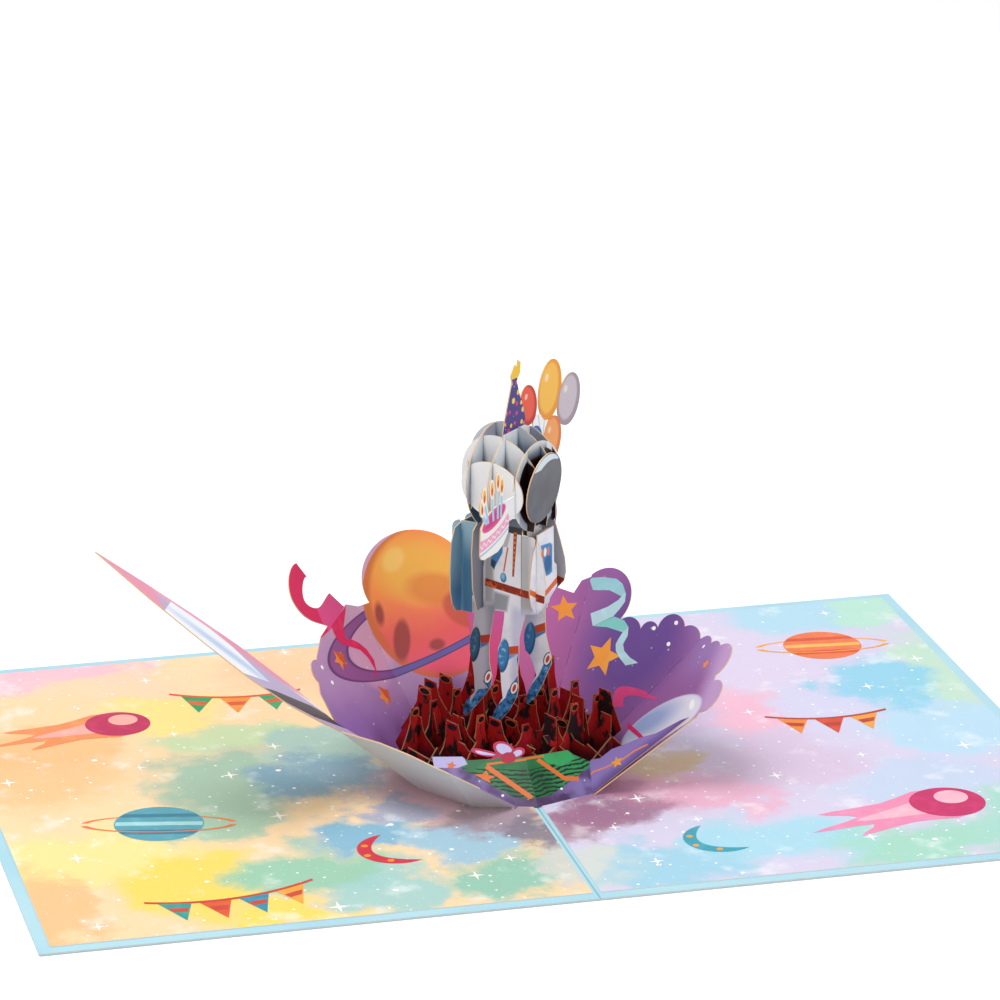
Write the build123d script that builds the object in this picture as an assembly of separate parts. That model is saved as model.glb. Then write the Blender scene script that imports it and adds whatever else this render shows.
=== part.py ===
from build123d import *
import os
from math import cos, radians, sin, sqrt

os.makedirs("parts", exist_ok=True)

# Card
PAGE_W = 127.0          # one page, from the fold to the outer edge
PAGE_D = 178.0          # along the fold
COVER_T = 0.4
LINER_T = 0.25
LINER_MARGIN = 3.0      # cover border left round each liner
SPINE_HALF = 1.0        # half of the strip of cover left bare along the fold
SCORE_W = 0.4
SCORE_DEEP = 0.12
DECK = COVER_T + LINER_T

# Paper of the pop up and the room a slit leaves round it
PAPER = 0.3
SLIT_CLEAR = 0.07
SLIT_W = PAPER + 2 * SLIT_CLEAR
SLIT_PAST = 1.0         # a slit's run past the crossing, out at the edge

# Bowl: ten facets round a decagon standing on the liners
RING_X = 25.5
RING_Y = 27.0
RING_YC = -7.5
SLOPES = [40, 40, 48, 57, 59, 59, 57, 40, 47, 48]
HALVES_GAP = 0.3        # between the two walls at the back fold

# Sliceform: crossing planes at 45 degrees to the fold, through one axis
AXIS = (0.0, -8.0)
SLICES_A = {"backpack": -12.5, "back": -6.3, "mid": -0.3, "front": 5.7}
SLICES_B = {"near": 8.0, "left": 2.3, "right": -3.4, "far": -9.0}
HEAD_Z = 72.0           # middle of the helmet above the deck
HEAD_R = 14.6           # long half size of the helmet's largest slice
NECK_Z = HEAD_Z - 10.4  # lower edge of the helmet
VISOR_OFF = 9.2
VISOR_LEAN = 8.0        # degrees, top forward
VISOR_W = 7.7           # half width
VISOR_H = 8.7           # half height
CHEST_OFF = 8.1
FAR_END = SLICES_A["front"] + 1.2       # the far helmet slice ends just past the front slice
HELMET_BACK = -10.2

# Helmet on each slice: middle across, middle above HEAD_Z, half sizes as shares of HEAD_R, turn
HELMET = {
    "near": (-0.4, 0.1, 0.58, 0.46, -14),
    "left": (-0.8, -1.2, 0.915, 0.726, 119),
    "right": (-1.2, -0.6, 1.0, 0.795, 119),
    "far": (-1.2, -0.6, 0.9, 0.71, 119),
    "back": (2.7, 0.3, 0.863, 0.863, 0),
    "mid": (3.0, -0.6, 0.918, 0.918, 0),
    "front": (2.2, -0.6, 0.74, 0.74, 0),
    "disc": (3.0, 0.0, 0.445, 0.445, 0),
}

# Body and its parts: heights above the deck, places along a slice
HIP_Z = 40.6
SHOULDER_Z = 60.4
LEG_TOP = 44.5          # where the legs end inside the body
TORSO_NEAR = -SLICES_B["left"] + PAPER / 2 + SLIT_CLEAR     # the body's slices meet figure_slice_left
PACK_REAR = -14.8
BALLOONS = [(8.2, 88.7, 3.8, 5.1, 16), (18.2, 89.9, 5.3, 7.3, -12), (27.1, 85.2, 5.2, 6.4, -20),
            (19.2, 77.4, 4.3, 5.6, -10), (11.1, 78.7, 3.5, 4.0, 0), (17.4, 58.6, 4.2, 5.2, 0)]
CANDLES = [(-21.0, -22.9, 75.1), (-20.2, -21.9, 77.6), (-17.9, -18.5, 78.4),
           (-16.0, -15.8, 79.6), (-14.6, -14.1, 78.0)]
CANDLE_HALF = 0.65
LEG_BACK = [(-7.2, LEG_TOP), (-3.0, LEG_TOP), (-3.2, 40.8), (-4.2, 34.4), (-4.7, 31.8), (-4.6, 26.8),
            (-3.9, 23.5), (-4.1, 21.3), (-5.2, 19.2), (-8.6, 14.8), (-11.2, 12.0), (-11.9, 12.6),
            (-11.8, 14.1), (-10.9, 16.1), (-8.6, 18.6), (-8.8, 22.6), (-9.2, 25.4), (-10.0, 28.9),
            (-9.9, 32.1), (-9.1, 34.9), (-8.7, 38.4)]
LEG_MID = [(-0.2, LEG_TOP), (5.8, LEG_TOP), (5.1, 39.8), (4.0, 36.0), (3.6, 34.4), (3.5, 30.4),
           (3.2, 26.0), (3.4, 21.8), (2.9, 19.4), (0.9, 15.7), (-0.6, 13.9), (-3.4, 10.8),
           (-4.0, 11.6), (-3.9, 12.8), (-3.3, 14.6), (-0.9, 18.6), (-1.3, 21.8), (-1.5, 25.1),
           (-2.3, 27.7), (-2.1, 31.1), (-1.3, 33.1), (-0.5, 38.8)]
LEG_FAR = [(2.4, LEG_TOP), (7.4, LEG_TOP), (7.4, 37.4), (7.6, 34.1), (8.4, 31.0), (9.2, 28.6),
           (9.0, 27.0), (6.4, 21.0), (4.8, 18.0), (2.6, 15.8), (2.2, 17.0), (2.8, 19.2),
           (3.9, 21.6), (5.0, 23.6), (4.2, 26.2), (3.2, 28.4), (2.0, 29.4), (1.6, 31.8), (1.7, 34.8)]
FAR_ARM = [(2.3, 57.0), (2.3, NECK_Z + 2), (5.6, NECK_Z + 2), (6.8, 60.6), (8.2, 56.4), (9.4, 52.2),
           (9.7, 48.9), (9.2, 46.5), (7.3, 44.3), (5.4, 43.4), (3.6, 46.0), (2.6, 51.0)]
CHEST = [(-1.9, 60.8), (-2.0, 58.9), (-3.8, 57.0), (-5.0, 51.7), (-5.4, 47.4), (-4.7, 44.0),
         (-3.3, 41.8), (-1.4, 41.0), (2.1, 42.4), (7.4, 45.4), (7.1, 50.9), (5.9, 52.0), (5.6, 61.0)]
PACK = [(2.9, 60.8), (6.1, 60.0), (7.8, 56.5), (8.3, 50.0), (8.2, 45.0), (7.4, 41.4), (5.7, 39.2),
        (2.9, 38.6)]
PACK_MID = 0.5

# Bed of crossing slats under the figure
BED_A = [-18.0, -10.4, -2.8, 4.8, 12.4, 20.0]
BED_B = [-20.2, -13.4, -6.6, -0.5, 6.4, 13.2, 20.0]
BED_R = 23.6
BED_TOP_R = 27.6
BED_VALLEY = 7.6
BED_PEAK = 14.2
BED_RIM = 1.6           # the chimneys' rise from the middle to the rim
BED_BACK = 4.0          # their further rise to the back
BED_PITCH = 10.2        # from one chimney to the next
MOUTH = 1.5             # half width of a chimney's mouth

# Front panel, a shallow V across the fold
PANEL_RISE = 34.0
PANEL_IN = 1.0
PANEL_ROOM = 0.35       # left between the panel and the bed under it
PANEL_TOP_L = 18.2      # highest points of the two halves, up their slopes
PANEL_TOP_R = 15.0

Q = sqrt(0.5)


def ring(i):
    """Corner of the decagon on the deck."""
    a = radians(36 * (i % 10))
    return Vector(RING_X * sin(a), RING_YC - RING_Y * cos(a), DECK)


def facet_axes(i):
    """Along the base, up the slope and outward normal of a facet."""
    along = (ring(i + 1) - ring(i)).normalized()
    out = Vector(along.Y, -along.X, 0)
    s = radians(SLOPES[i % 10])
    up = out * cos(s) + Vector(0, 0, sin(s))
    return along, up, along.cross(up)


def crease_dir(i):
    """Direction of the fold that rises from corner i."""
    d = facet_axes(i - 1)[2].cross(facet_axes(i)[2]).normalized()
    return d if d.Z > 0 else d * -1


def crease_tip(i, corner, length):
    """End of the fold at a corner in the coordinates of facet i."""
    along, up, _ = facet_axes(i)
    p = ring(corner) + crease_dir(corner) * length - ring(i)
    return (p.dot(along), p.dot(up))


def poly(pts):
    return make_face(Polyline(*pts, close=True))


def disc(x, y, r):
    return Pos(x, y) * Circle(r)


def oval(x, y, rx, ry, turn=0):
    return Pos(x, y) * Rot(0, 0, turn) * Ellipse(rx, ry)


def wedge(i, high=70.0):
    """The part of the facet plane between its two folds."""
    w = (ring(i + 1) - ring(i)).length
    x0, y0 = crease_tip(i, i, high)
    x1, y1 = crease_tip(i, i + 1, high)
    return poly([(0, 0), (w, 0), (x1, y1), (x0, y0)])


def facet_plate(i, shape):
    """A facet of paper, its outer face in the facet plane."""
    along, up, normal = facet_axes(i)
    plane = Plane(origin=ring(i), x_dir=along, z_dir=normal)
    return extrude(plane * shape, amount=-PAPER)


# Length of the folds from the deck to the wall's edge
FOLD = {1: 0.0, 2: 27.0, 3: 36.5, 4: 39.5, 5: 36.0, 6: 36.8, 7: 26.0, 8: 24.5, 9: 17.2}


def wall_outline(i, free):
    """Facet outline: base, fold at its end, free edge, fold at its start."""
    w = (ring(i + 1) - ring(i)).length
    end = crease_tip(i, i + 1, FOLD[(i + 1) % 10])
    start = crease_tip(i, i, FOLD[i % 10])
    return poly([(0, 0), (w, 0), end] + free + [start])


def streamer():
    """Curled ribbon that stands out of the left wall."""
    inner = Spline((10.2, 50.2), (15.0, 48.6), (17.2, 45.6), (14.6, 43.0), (9.2, 42.9), (4.8, 43.6))
    outer = Spline((12.6, 37.0), (17.4, 40.0), (21.2, 43.6), (22.0, 48.0), (18.4, 52.4), (11.2, 54.4))
    edges = [inner, Line((4.8, 43.6), (1.8, 38.2)), Line((1.8, 38.2), (12.6, 37.0)), outer]
    edges.append(Line((11.2, 54.4), (10.2, 50.2)))
    return make_face(Wire(edges))


def left_wall():
    """Back left petals with the dome, the long spike and the low front."""
    f5 = wall_outline(5, [(17.5, 36.5), (-4.0, 39.0)]) + oval(6.5, 39.5, 15.0, 12.3)
    f6 = wall_outline(6, [(33.5, 26.6), (29.2, 31.5), (26.0, 33.8), (19.4, 36.8), (11.0, 38.2), (0.6, 38.9)])
    f6 = f6 + disc(28.6, 30.4, 3.3) + streamer()
    f7 = wall_outline(7, [(20.6, 32.0), (26.6, 43.0), (28.4, 56.0), (24.4, 69.0), (17.4, 84.0),
                          (8.0, 97.5), (3.6, 82.0), (0.4, 66.0), (-0.6, 52.0), (3.0, 36.0)])
    f8 = wall_outline(8, [(14.6, 18.6), (9.4, 20.8), (1.3, 22.4)])
    w9 = (ring(10) - ring(9)).length
    f9 = poly([(0, 0), (w9 * 0.68, 0), (2.5, 9.4), crease_tip(9, 9, FOLD[9])])
    wall = facet_plate(7, f7)
    wall += facet_plate(6, f6 & wedge(6))
    wall += facet_plate(5, f5 & wedge(5))
    wall += facet_plate(8, f8 & wedge(8))
    wall += facet_plate(9, f9 & wedge(9))
    return wall & Pos(-HALVES_GAP / 2 - 100, 0, 60) * Box(200, 200, 140)


def right_wall():
    """Back right petals with rounded cloud edges."""
    w1 = (ring(2) - ring(1)).length
    f1 = poly([(0, 0), (w1, 0), crease_tip(1, 2, FOLD[2])])
    f2 = wall_outline(2, [(4.6, 36.0), (-4.0, 36.0), (-9.0, 31.0)])
    for x, y, r in [(9.0, 34.6, 3.6), (3.6, 35.6, 3.4), (-2.2, 35.6, 5.0), (-11.2, 28.6, 4.6)]:
        f2 = f2 + disc(x, y, r)
    f3 = wall_outline(3, [(8.6, 31.6), (-1.0, 29.0), (-13.0, 32.0)])
    for x, y, r in [(14.6, 35.0, 7.8), (4.4, 28.4, 4.0), (-1.8, 30.2, 2.6), (-7.8, 32.2, 3.9),
                    (-13.6, 31.2, 3.4)]:
        f3 = f3 + disc(x, y, r)
    f4 = wall_outline(4, [(14.0, 37.6), (6.0, 37.8), (-1.0, 35.4), (-4.9, 34.2), (-6.8, 37.4)])
    wall = facet_plate(3, f3 & wedge(3))
    wall += facet_plate(2, f2 & wedge(2))
    wall += facet_plate(1, f1)
    wall += facet_plate(4, f4 & wedge(4))
    return wall & Pos(HALVES_GAP / 2 + 100, 0, 60) * Box(200, 200, 140)


# Front panel

def panel_axes(side):
    """Base corner, along the base and up the slope of one half."""
    s = Vector(0, ring(0).Y + PANEL_IN, DECK)
    along = Vector(side * ring(1).X, ring(1).Y - ring(0).Y, 0).normalized()
    r = radians(PANEL_RISE)
    fold = Vector(0, cos(r), sin(r))
    normal = along.cross(fold).normalized()
    if normal.Z < 0:
        normal = normal * -1
    up = normal.cross(along) * side
    return s, along, up, normal, fold


def panel_shape(side, parts):
    """Faces of one half laid in its plane, seen from the printed side."""
    s, along, up, normal, _ = panel_axes(side)
    plane = Plane(origin=s, x_dir=along * side, z_dir=normal)
    return plane * parts


def bow(side):
    """Loops of the die cut bow on one half."""
    if side < 0:
        return oval(-14.4, 14.8, 3.4, 1.5, -12) + oval(-9.0, 15.8, 3.0, 1.9, -32)
    return oval(-1.0, 15.2, 2.6, 1.6, 10)


def panel_half(side):
    s, along, up, normal, fold = panel_axes(side)
    fx, fy = fold.dot(along), fold.dot(up)
    w = (ring(1) - ring(0)).length
    top = 14.4
    if side > 0:
        pts = [(0, 0), (w, 0), (19.6, 8.4), (16.3, 11.4), (15.4, 13.0), (fx * top, fy * top)]
        shape = poly(pts)
    else:
        pts = [(0, 0), (w, 0), (25.3, 10.6), (25.9, 13.1), (18.8, 13.4), (17.6, 12.4), (fx * top, fy * top)]
        shape = poly([(-x, y) for x, y in pts])
        shape = shape + bow(-1) + poly([(-5.4, 13.2), (-12.6, 12.4), (-9.0, 16.0)])
    return extrude(panel_shape(side, shape), amount=-PAPER)


def panel_wing():
    """Long strip of the panel that runs up beside the right wall."""
    a = ring(1) + Vector(-0.4, PANEL_IN, 0)
    n1 = facet_axes(1)[2]
    end = ring(2) + crease_dir(2) * FOLD[2] - n1 * 1.3
    s, along, up, normal, _ = panel_axes(1)
    corner = s + along * 19.2 + up * 8.4
    x = (end - a).normalized()
    n = x.cross(corner - a).normalized()
    y = n.cross(x)
    cx, cy = (corner - a).dot(x), (corner - a).dot(y)
    top = [(27.0, 0.9), (20.6, 2.4), (17.0, 4.4), (13.6, 5.6), (9.8, 7.2), (6.4, 7.2), (4.4, 8.6)]
    face = Plane(origin=a, x_dir=x, z_dir=n) * poly([(0, 0), (29.0, 0)] + top + [(cx, cy)])
    return extrude(face, amount=-PAPER), n


def front_panel():
    wing, _ = panel_wing()
    sheet = panel_half(1) + panel_half(-1) + wing
    return sheet & Pos(0, 0, DECK + 50) * Box(300, 300, 100)


def panel_keep_out():
    """Room the bed of slats leaves for the panel."""
    room = None
    for side in (1, -1):
        s, along, up, normal, fold = panel_axes(side)
        top = PANEL_TOP_R if side > 0 else PANEL_TOP_L
        big = poly([(-2 * side, -6), (32 * side, -6), (32 * side, top), (-2 * side, top)])
        under = extrude(panel_shape(side, big), amount=-PAPER - PANEL_ROOM)
        over = extrude(panel_shape(side, big), amount=16)
        room = under + over if room is None else room + under + over
    return room


# Sliceform planes

def plane_a(offset):
    """Upright plane that faces front right, counted from the axis towards that side."""
    origin = (AXIS[0] + offset * Q, AXIS[1] - offset * Q, DECK)
    return Plane(origin=origin, x_dir=(Q, Q, 0), z_dir=(Q, -Q, 0))


def plane_b(offset):
    """Upright plane that faces front left, counted from the axis towards that side."""
    origin = (AXIS[0] - offset * Q, AXIS[1] - offset * Q, DECK)
    return Plane(origin=origin, x_dir=(Q, -Q, 0), z_dir=(-Q, -Q, 0))


def slice_plate(plane, shape):
    """Sheet of paper with its middle in the plane."""
    return extrude(plane * shape, amount=PAPER / 2, both=True)


def helmet(name):
    """Section of the helmet on one slice, ending at the neck and behind the visor."""
    x, up, long_side, wide_side, turn = HELMET[name]
    shape = oval(x, HEAD_Z + up, HEAD_R * long_side, HEAD_R * wide_side, turn)
    shape = shape & Pos(0, NECK_Z + 50) * Rectangle(200, 100)
    if name in SLICES_B:
        behind = Pos(-50 - PAPER / 2, 0) * Rectangle(100, 100)
        shape = shape & Pos(VISOR_OFF, HEAD_Z) * Rot(0, 0, -VISOR_LEAN) * behind
    return shape


def visor_plane():
    """Plane across the helmet's front, its top leaning forward."""
    c, s = cos(radians(VISOR_LEAN)), sin(radians(VISOR_LEAN))
    origin = (AXIS[0] + VISOR_OFF * Q, AXIS[1] - VISOR_OFF * Q, DECK + HEAD_Z)
    return Plane(origin=origin, x_dir=(Q, Q, 0), z_dir=(Q * c, -Q * c, -s))


def block(x0, x1, z0, z1, r=0.0):
    """Rectangle from its edges, with round corners where r is given."""
    shape = Pos((x0 + x1) / 2, (z0 + z1) / 2) * Rectangle(x1 - x0, z1 - z0)
    return fillet(shape.vertices(), r) if r else shape


def strip(x0, z0, x1, z1, half):
    """Straight band between two points, widened sideways."""
    return poly([(x0 - half, z0), (x0 + half, z0), (x1 + half, z1), (x1 - half, z1)])


def party_hat():
    """Cone of the hat, its brim inside the helmet."""
    return poly([(-3.4, 82.0), (6.2, 83.0), (6.4, 86.2), (2.2, 97.6), (1.2, 97.6), (-2.8, 87.4),
                 (-3.4, 85.2)])


def flame():
    """Flame shaped top of the hat."""
    return poly([(0.4, 96.6), (2.9, 96.2), (4.3, 97.8), (4.5, 100.2), (3.4, 101.0), (3.0, 99.4),
                 (1.9, 100.2), (1.0, 99.0), (0.2, 98.0)])


def chest_block(far):
    """Body of a slice across the figure, with its neck."""
    body = block(TORSO_NEAR, far, HIP_Z, SHOULDER_Z - 0.8, 0.8)
    return body + block(TORSO_NEAR, 4.0, SHOULDER_Z - 3, NECK_Z + 2)


def mid_shape():
    """Full height centre slice: body, helmet, hat and balloons."""
    shape = helmet("mid") + chest_block(7.5)
    shape = shape + party_hat() + flame()
    for x, z, rx, rz, turn in BALLOONS:
        shape = shape + oval(x, z, rx, rz, turn)
    strings = poly([(9.6, 80.0), (10.6, 85.4), (16.4, 84.6), (17.6, 76.0)])
    return shape + strings + block(15.6, 19.2, 60.0, 77.0)


def cake_shape():
    """Cake with candles, held at the helmet's front."""
    shape = poly([(-24.0, 61.8), (-23.4, 60.7), (-22.0, 60.3), (-16.0, 60.5), (-13.4, 61.7),
                  (-11.2, 64.1), (-10.8, 66.8), (-11.8, 68.6), (-12.4, 71.8), (-14.0, 72.4),
                  (-18.0, 71.6), (-21.6, 70.2), (-23.6, 68.2)])
    for base, x, top in CANDLES:
        shape = shape + strip(base, 68.0, x, top - 2.0, CANDLE_HALF) + oval(x, top - 1.9, 1.05, 2.3)
    return shape


def front_shape():
    """Chest slice with the helmet's inner wall, and the cake in front of it."""
    shape = helmet("front") + chest_block(8.0)
    hold = poly([(-12.4, 66.4), (-9.3, 66.6), (-6.0, 65.6), (-6.0, 72.0), (-13.0, 71.8)])
    return shape + hold + cake_shape()


def back_shape():
    """Back of the body, from hips to neck."""
    body = poly([(-5.4, HIP_Z), (-7.2, 46.4), (-7.7, 55.5), (-7.0, SHOULDER_Z + 0.4), (-4.6, NECK_Z + 1),
                 (5.6, NECK_Z + 1), (8.0, SHOULDER_Z + 0.4), (8.7, 55.5), (8.2, 46.4), (6.4, HIP_Z)])
    return helmet("back") + body


def pack_a():
    """Backpack seen from behind, one half the mirror of the other."""
    mirrored = [(2 * PACK_MID - x, z) for x, z in reversed(PACK)]
    return poly(PACK + mirrored)


def pack_b():
    """Backpack from the side."""
    return block(PACK_REAR, -5.0, HIP_Z - 2, SHOULDER_Z + 0.8, 2.0)


def torso_b():
    """Body from the side, neck to hips, its front rounded."""
    return poly([(-6.4, 40.2), (-6.0, 45.6), (-5.4, 52.7), (-5.2, 58.6), (-4.0, SHOULDER_Z),
                 (-4.0, NECK_Z + 1.4), (4.4, NECK_Z + 1.4), (4.6, SHOULDER_Z), (7.4, 60.2), (8.8, 58.8),
                 (10.2, 53.5), (10.7, 49.1), (10.5, 44.8), (9.8, 42.8), (8.7, 41.4), (6.3, 40.9),
                 (4.7, HIP_Z)])


def figure():
    """All slices of the figure before their slits are cut: plane and outline."""
    a = {}
    a["backpack_slice"] = (plane_a(SLICES_A["backpack"]), pack_a())
    a["figure_slice_back"] = (plane_a(SLICES_A["back"]), back_shape())
    a["figure_slice_mid"] = (plane_a(SLICES_A["mid"]), mid_shape())
    a["figure_slice_front"] = (plane_a(SLICES_A["front"]), front_shape())
    a["helmet_back_disc"] = (plane_a(HELMET_BACK), helmet("disc"))
    a["visor"] = (visor_plane(), oval(-0.7, 0.4, VISOR_W, VISOR_H))
    a["chest_panel"] = (plane_a(CHEST_OFF), poly(CHEST))
    behind_chest = Pos(CHEST_OFF - PAPER / 2 - 50, 50) * Rectangle(100, 100)
    b = {}
    b["helmet_slice_near"] = (plane_b(SLICES_B["near"]), helmet("near"))
    left = helmet("left") + torso_b() + pack_b() + poly(LEG_BACK) + poly(LEG_MID)
    b["figure_slice_left"] = (plane_b(SLICES_B["left"]), left)
    right = helmet("right") + (torso_b() & behind_chest) + pack_b() + poly(LEG_FAR)
    b["figure_slice_right"] = (plane_b(SLICES_B["right"]), right)
    far = helmet("far") & Pos(FAR_END - 50, HEAD_Z) * Rectangle(100, 100)
    b["far_arm_slice"] = (plane_b(SLICES_B["far"]), far + poly(FAR_ARM))
    return a, b


# Bed of slats

def bed_profile(offset, to_back, lo, hi, phase):
    """Outline of one slat: chimneys with hollows between them, higher to the back."""
    half = sqrt(BED_R ** 2 - offset ** 2)
    top_half = sqrt(BED_TOP_R ** 2 - offset ** 2)
    x0, x1 = max(-half, lo), min(half, hi)
    t0, t1 = max(-top_half, lo), min(top_half, hi)
    count = max(2, round((t1 - t0) / BED_PITCH))
    pitch = (t1 - t0) / count
    pts = [(x0, 0), (x1, 0), (t1, 7.0 + 0.6 * sin(phase * 3 + 1))]
    for j in range(count - 1, -1, -1):
        wave = sin(phase * 2.1 + j * 2.3)
        tilt = 0.9 * cos(phase * 1.7 + j * 1.9)
        xc = t0 + (j + 0.5) * pitch + 0.7 * wave
        back = max(0.0, Q * (to_back * xc - offset)) / BED_R
        top = BED_PEAK + 2.0 * wave + BED_RIM * (xc / BED_R) ** 2 + BED_BACK * back
        low = BED_VALLEY + 1.1 * cos(phase + j * 1.3) + BED_BACK / 2 * back
        rise = top - low
        pts.append((xc + 0.32 * pitch, low + 0.22 * rise))
        pts.append((xc + 2.2 + 0.6 * tilt, top - 0.45 * rise))
        pts.append((xc + MOUTH + 0.2 + tilt, top - 0.4))
        pts.append((xc - MOUTH + tilt, top + 0.3))
        pts.append((xc - 1.9 + 0.6 * tilt, top - 0.42 * rise))
        pts.append((xc - 0.3 * pitch, low + 0.24 * rise))
        if j > 0:
            pts.append((xc - pitch / 2, low))
    pts.append((t0, 7.0 + 0.6 * cos(phase * 2)))
    return poly(pts)


def bed():
    a, b = {}, {}
    front = RING_Y - RING_YC - 3.0 + AXIS[1]
    for n, off in enumerate(BED_A):
        lo = off - front / Q
        a[f"bed_slat_a{n + 1}"] = (plane_a(off), bed_profile(off, 1, lo, 99, n + 0.4))
    for n, off in enumerate(BED_B):
        hi = front / Q - off
        b[f"bed_slat_b{n + 1}"] = (plane_b(off), bed_profile(off, -1, -99, hi, n + 2.9))
    return a, b


# Half slits where two plates cross

def slit_cut(u, v, past):
    """Cuts of two plates at each of their crossings: the low half of u and the high half of v."""
    both = u & v
    cuts_u, cuts_v = [], []
    if both is None:
        return cuts_u, cuts_v
    for piece in both.solids():
        box = piece.bounding_box()
        mid = (box.min.Z + box.max.Z) / 2
        c = piece.center(CenterOf.BOUNDING_BOX)
        for low, high, cuts in ((box.min.Z - past, mid, cuts_u), (mid, box.max.Z + past, cuts_v)):
            cuts.append(Pos(c.X, c.Y, (low + high) / 2) * Rot(0, 0, 45) * Box(SLIT_W, SLIT_W, high - low))
    return cuts_u, cuts_v


def interlock(first, second, past):
    """Cuts of half slits for every pair of the two sets, run past the crossing to the plate's edge."""
    jobs = {name: [] for name in list(first) + list(second)}
    for nu, u in first.items():
        for nv, v in second.items():
            cu, cv = slit_cut(u, v, past)
            jobs[nu] += cu
            jobs[nv] += cv
    return jobs


def apply(plates, jobs):
    """The plates with their slits cut."""
    out = {}
    for name, plate in plates.items():
        for cut in jobs.get(name, []):
            plate = plate - cut
        out[name] = plate
    return out


def sliceform():
    fa, fb = figure()
    ba, bb = bed()
    room = panel_keep_out()
    fig_a = {n: slice_plate(p, s) for n, (p, s) in fa.items()}
    fig_b = {n: slice_plate(p, s) for n, (p, s) in fb.items()}
    bed_a = {n: slice_plate(p, s) - room for n, (p, s) in ba.items()}
    bed_b = {n: slice_plate(p, s) - room for n, (p, s) in bb.items()}
    jobs = {}
    figure_slits = interlock(fig_a, fig_b, SLIT_PAST)
    bed_slits = interlock(bed_a, bed_b, BED_PEAK)
    foot_slits = interlock(fig_b, bed_a, SLIT_PAST)
    for pair in (figure_slits, bed_slits, foot_slits):
        for name, cuts in pair.items():
            jobs.setdefault(name, []).extend(cuts)
    out = {}
    for plates in (fig_a, fig_b, bed_a, bed_b):
        out.update(apply(plates, jobs))
    return out


# Card

def cover():
    sheet = Pos(0, 0, COVER_T / 2) * Box(2 * PAGE_W, PAGE_D, COVER_T)
    return sheet - Pos(0, 0, COVER_T) * Box(SCORE_W, PAGE_D, 2 * SCORE_DEEP)


def liner(side):
    w = PAGE_W - LINER_MARGIN - SPINE_HALF
    x = side * (SPINE_HALF + w / 2)
    return Pos(x, 0, COVER_T + LINER_T / 2) * Box(w, PAGE_D - 2 * LINER_MARGIN, LINER_T)


def biggest(shape):
    """The sheet itself, without crumbs a cut may leave."""
    solids = sorted(shape.solids(), key=lambda s: s.volume, reverse=True)
    return solids[0]


def main():
    pieces = {"cover": cover(), "liner_left": liner(-1), "liner_right": liner(1)}
    pieces["bowl_wall_left"] = left_wall()
    pieces["bowl_wall_right"] = right_wall()
    pieces["front_panel"] = front_panel()
    pieces.update(sliceform())
    for name, shape in pieces.items():
        solid = biggest(shape)
        solid.label = name
        export_step(solid, f"parts/{name}.step")


main()
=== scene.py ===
import random
from math import atan2, cos, pi, radians, sin, sqrt

import bpy
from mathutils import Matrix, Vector
from mathutils.bvhtree import BVHTree
from mathutils.geometry import tessellate_polygon


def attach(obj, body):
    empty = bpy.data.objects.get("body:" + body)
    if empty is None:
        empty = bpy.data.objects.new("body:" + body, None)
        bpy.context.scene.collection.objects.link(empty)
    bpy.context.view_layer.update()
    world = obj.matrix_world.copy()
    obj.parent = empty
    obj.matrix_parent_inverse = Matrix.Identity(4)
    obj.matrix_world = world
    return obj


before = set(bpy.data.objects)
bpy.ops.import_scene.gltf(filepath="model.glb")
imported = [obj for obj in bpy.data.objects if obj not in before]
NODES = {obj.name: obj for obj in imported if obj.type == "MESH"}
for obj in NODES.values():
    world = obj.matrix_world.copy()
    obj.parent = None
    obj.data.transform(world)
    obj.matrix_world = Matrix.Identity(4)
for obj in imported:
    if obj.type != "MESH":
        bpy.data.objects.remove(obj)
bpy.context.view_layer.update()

MM = 0.001
Q = sqrt(0.5)

# The card as in the frame, in mm and degrees
DECK = 0.65                     # top of the printed pages
PAPER = 0.3
AXIS = (0.0, -8.0)              # axis of the figure's crossing plates
RING_X = 25.5                   # corners of the bowl's foot
RING_Y = 27.0
RING_YC = -7.5
SLOPES = [40, 40, 48, 57, 59, 59, 57, 40, 47, 48]
BACK_FOLD = 35.0                # length of the fold behind the figure
SCORE_PITCH = 4.2               # dashes of the score lines
PANEL_RISE = 34.0               # slope of the front panel's fold
PANEL_IN = 1.0
WING_FOLD = 27.0                # the wing's end on the bowl's right fold
CROSS_A = (-6.3, -0.3, 5.7)     # where plates a cross plates b
CROSS_B = (-8.0, -2.3, 3.4, 9.0)
LEAN = radians(8.0)
VISOR_OUT = Vector((Q * cos(LEAN), -Q * cos(LEAN), -sin(LEAN)))
CANDLES = [(-21.0, -22.9, 75.1), (-20.2, -21.9, 77.6), (-17.9, -18.5, 78.4),
           (-16.0, -15.8, 79.6), (-14.6, -14.1, 78.0)]
ON = 0.97                       # cosine from which a face counts as facing a way

# Rocky ground
BED_A = [-18.0, -10.4, -2.8, 4.8, 12.4, 20.0]
BED_B = [-20.2, -13.4, -6.6, -0.5, 6.4, 13.2, 20.0]
BED_R = 23.6
BED_TOP_R = 27.6
BED_RIM = 1.6
BED_BACK = 4.0
BED_PEAK = 14.2
BED_PITCH = 10.2
BED_FRONT = RING_Y - RING_YC - 3.0 + AXIS[1]

# Camera, fitted to the card's corners
PICTURE_PX = 1000
FOCAL_PX = 5017.85
SENSOR = 36.0
CAMERA_AT = (-0.276354, -1.08997, 0.441425 + DECK * MM)
CAMERA_YAW = 14.192
CAMERA_PITCH = 18.509

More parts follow.
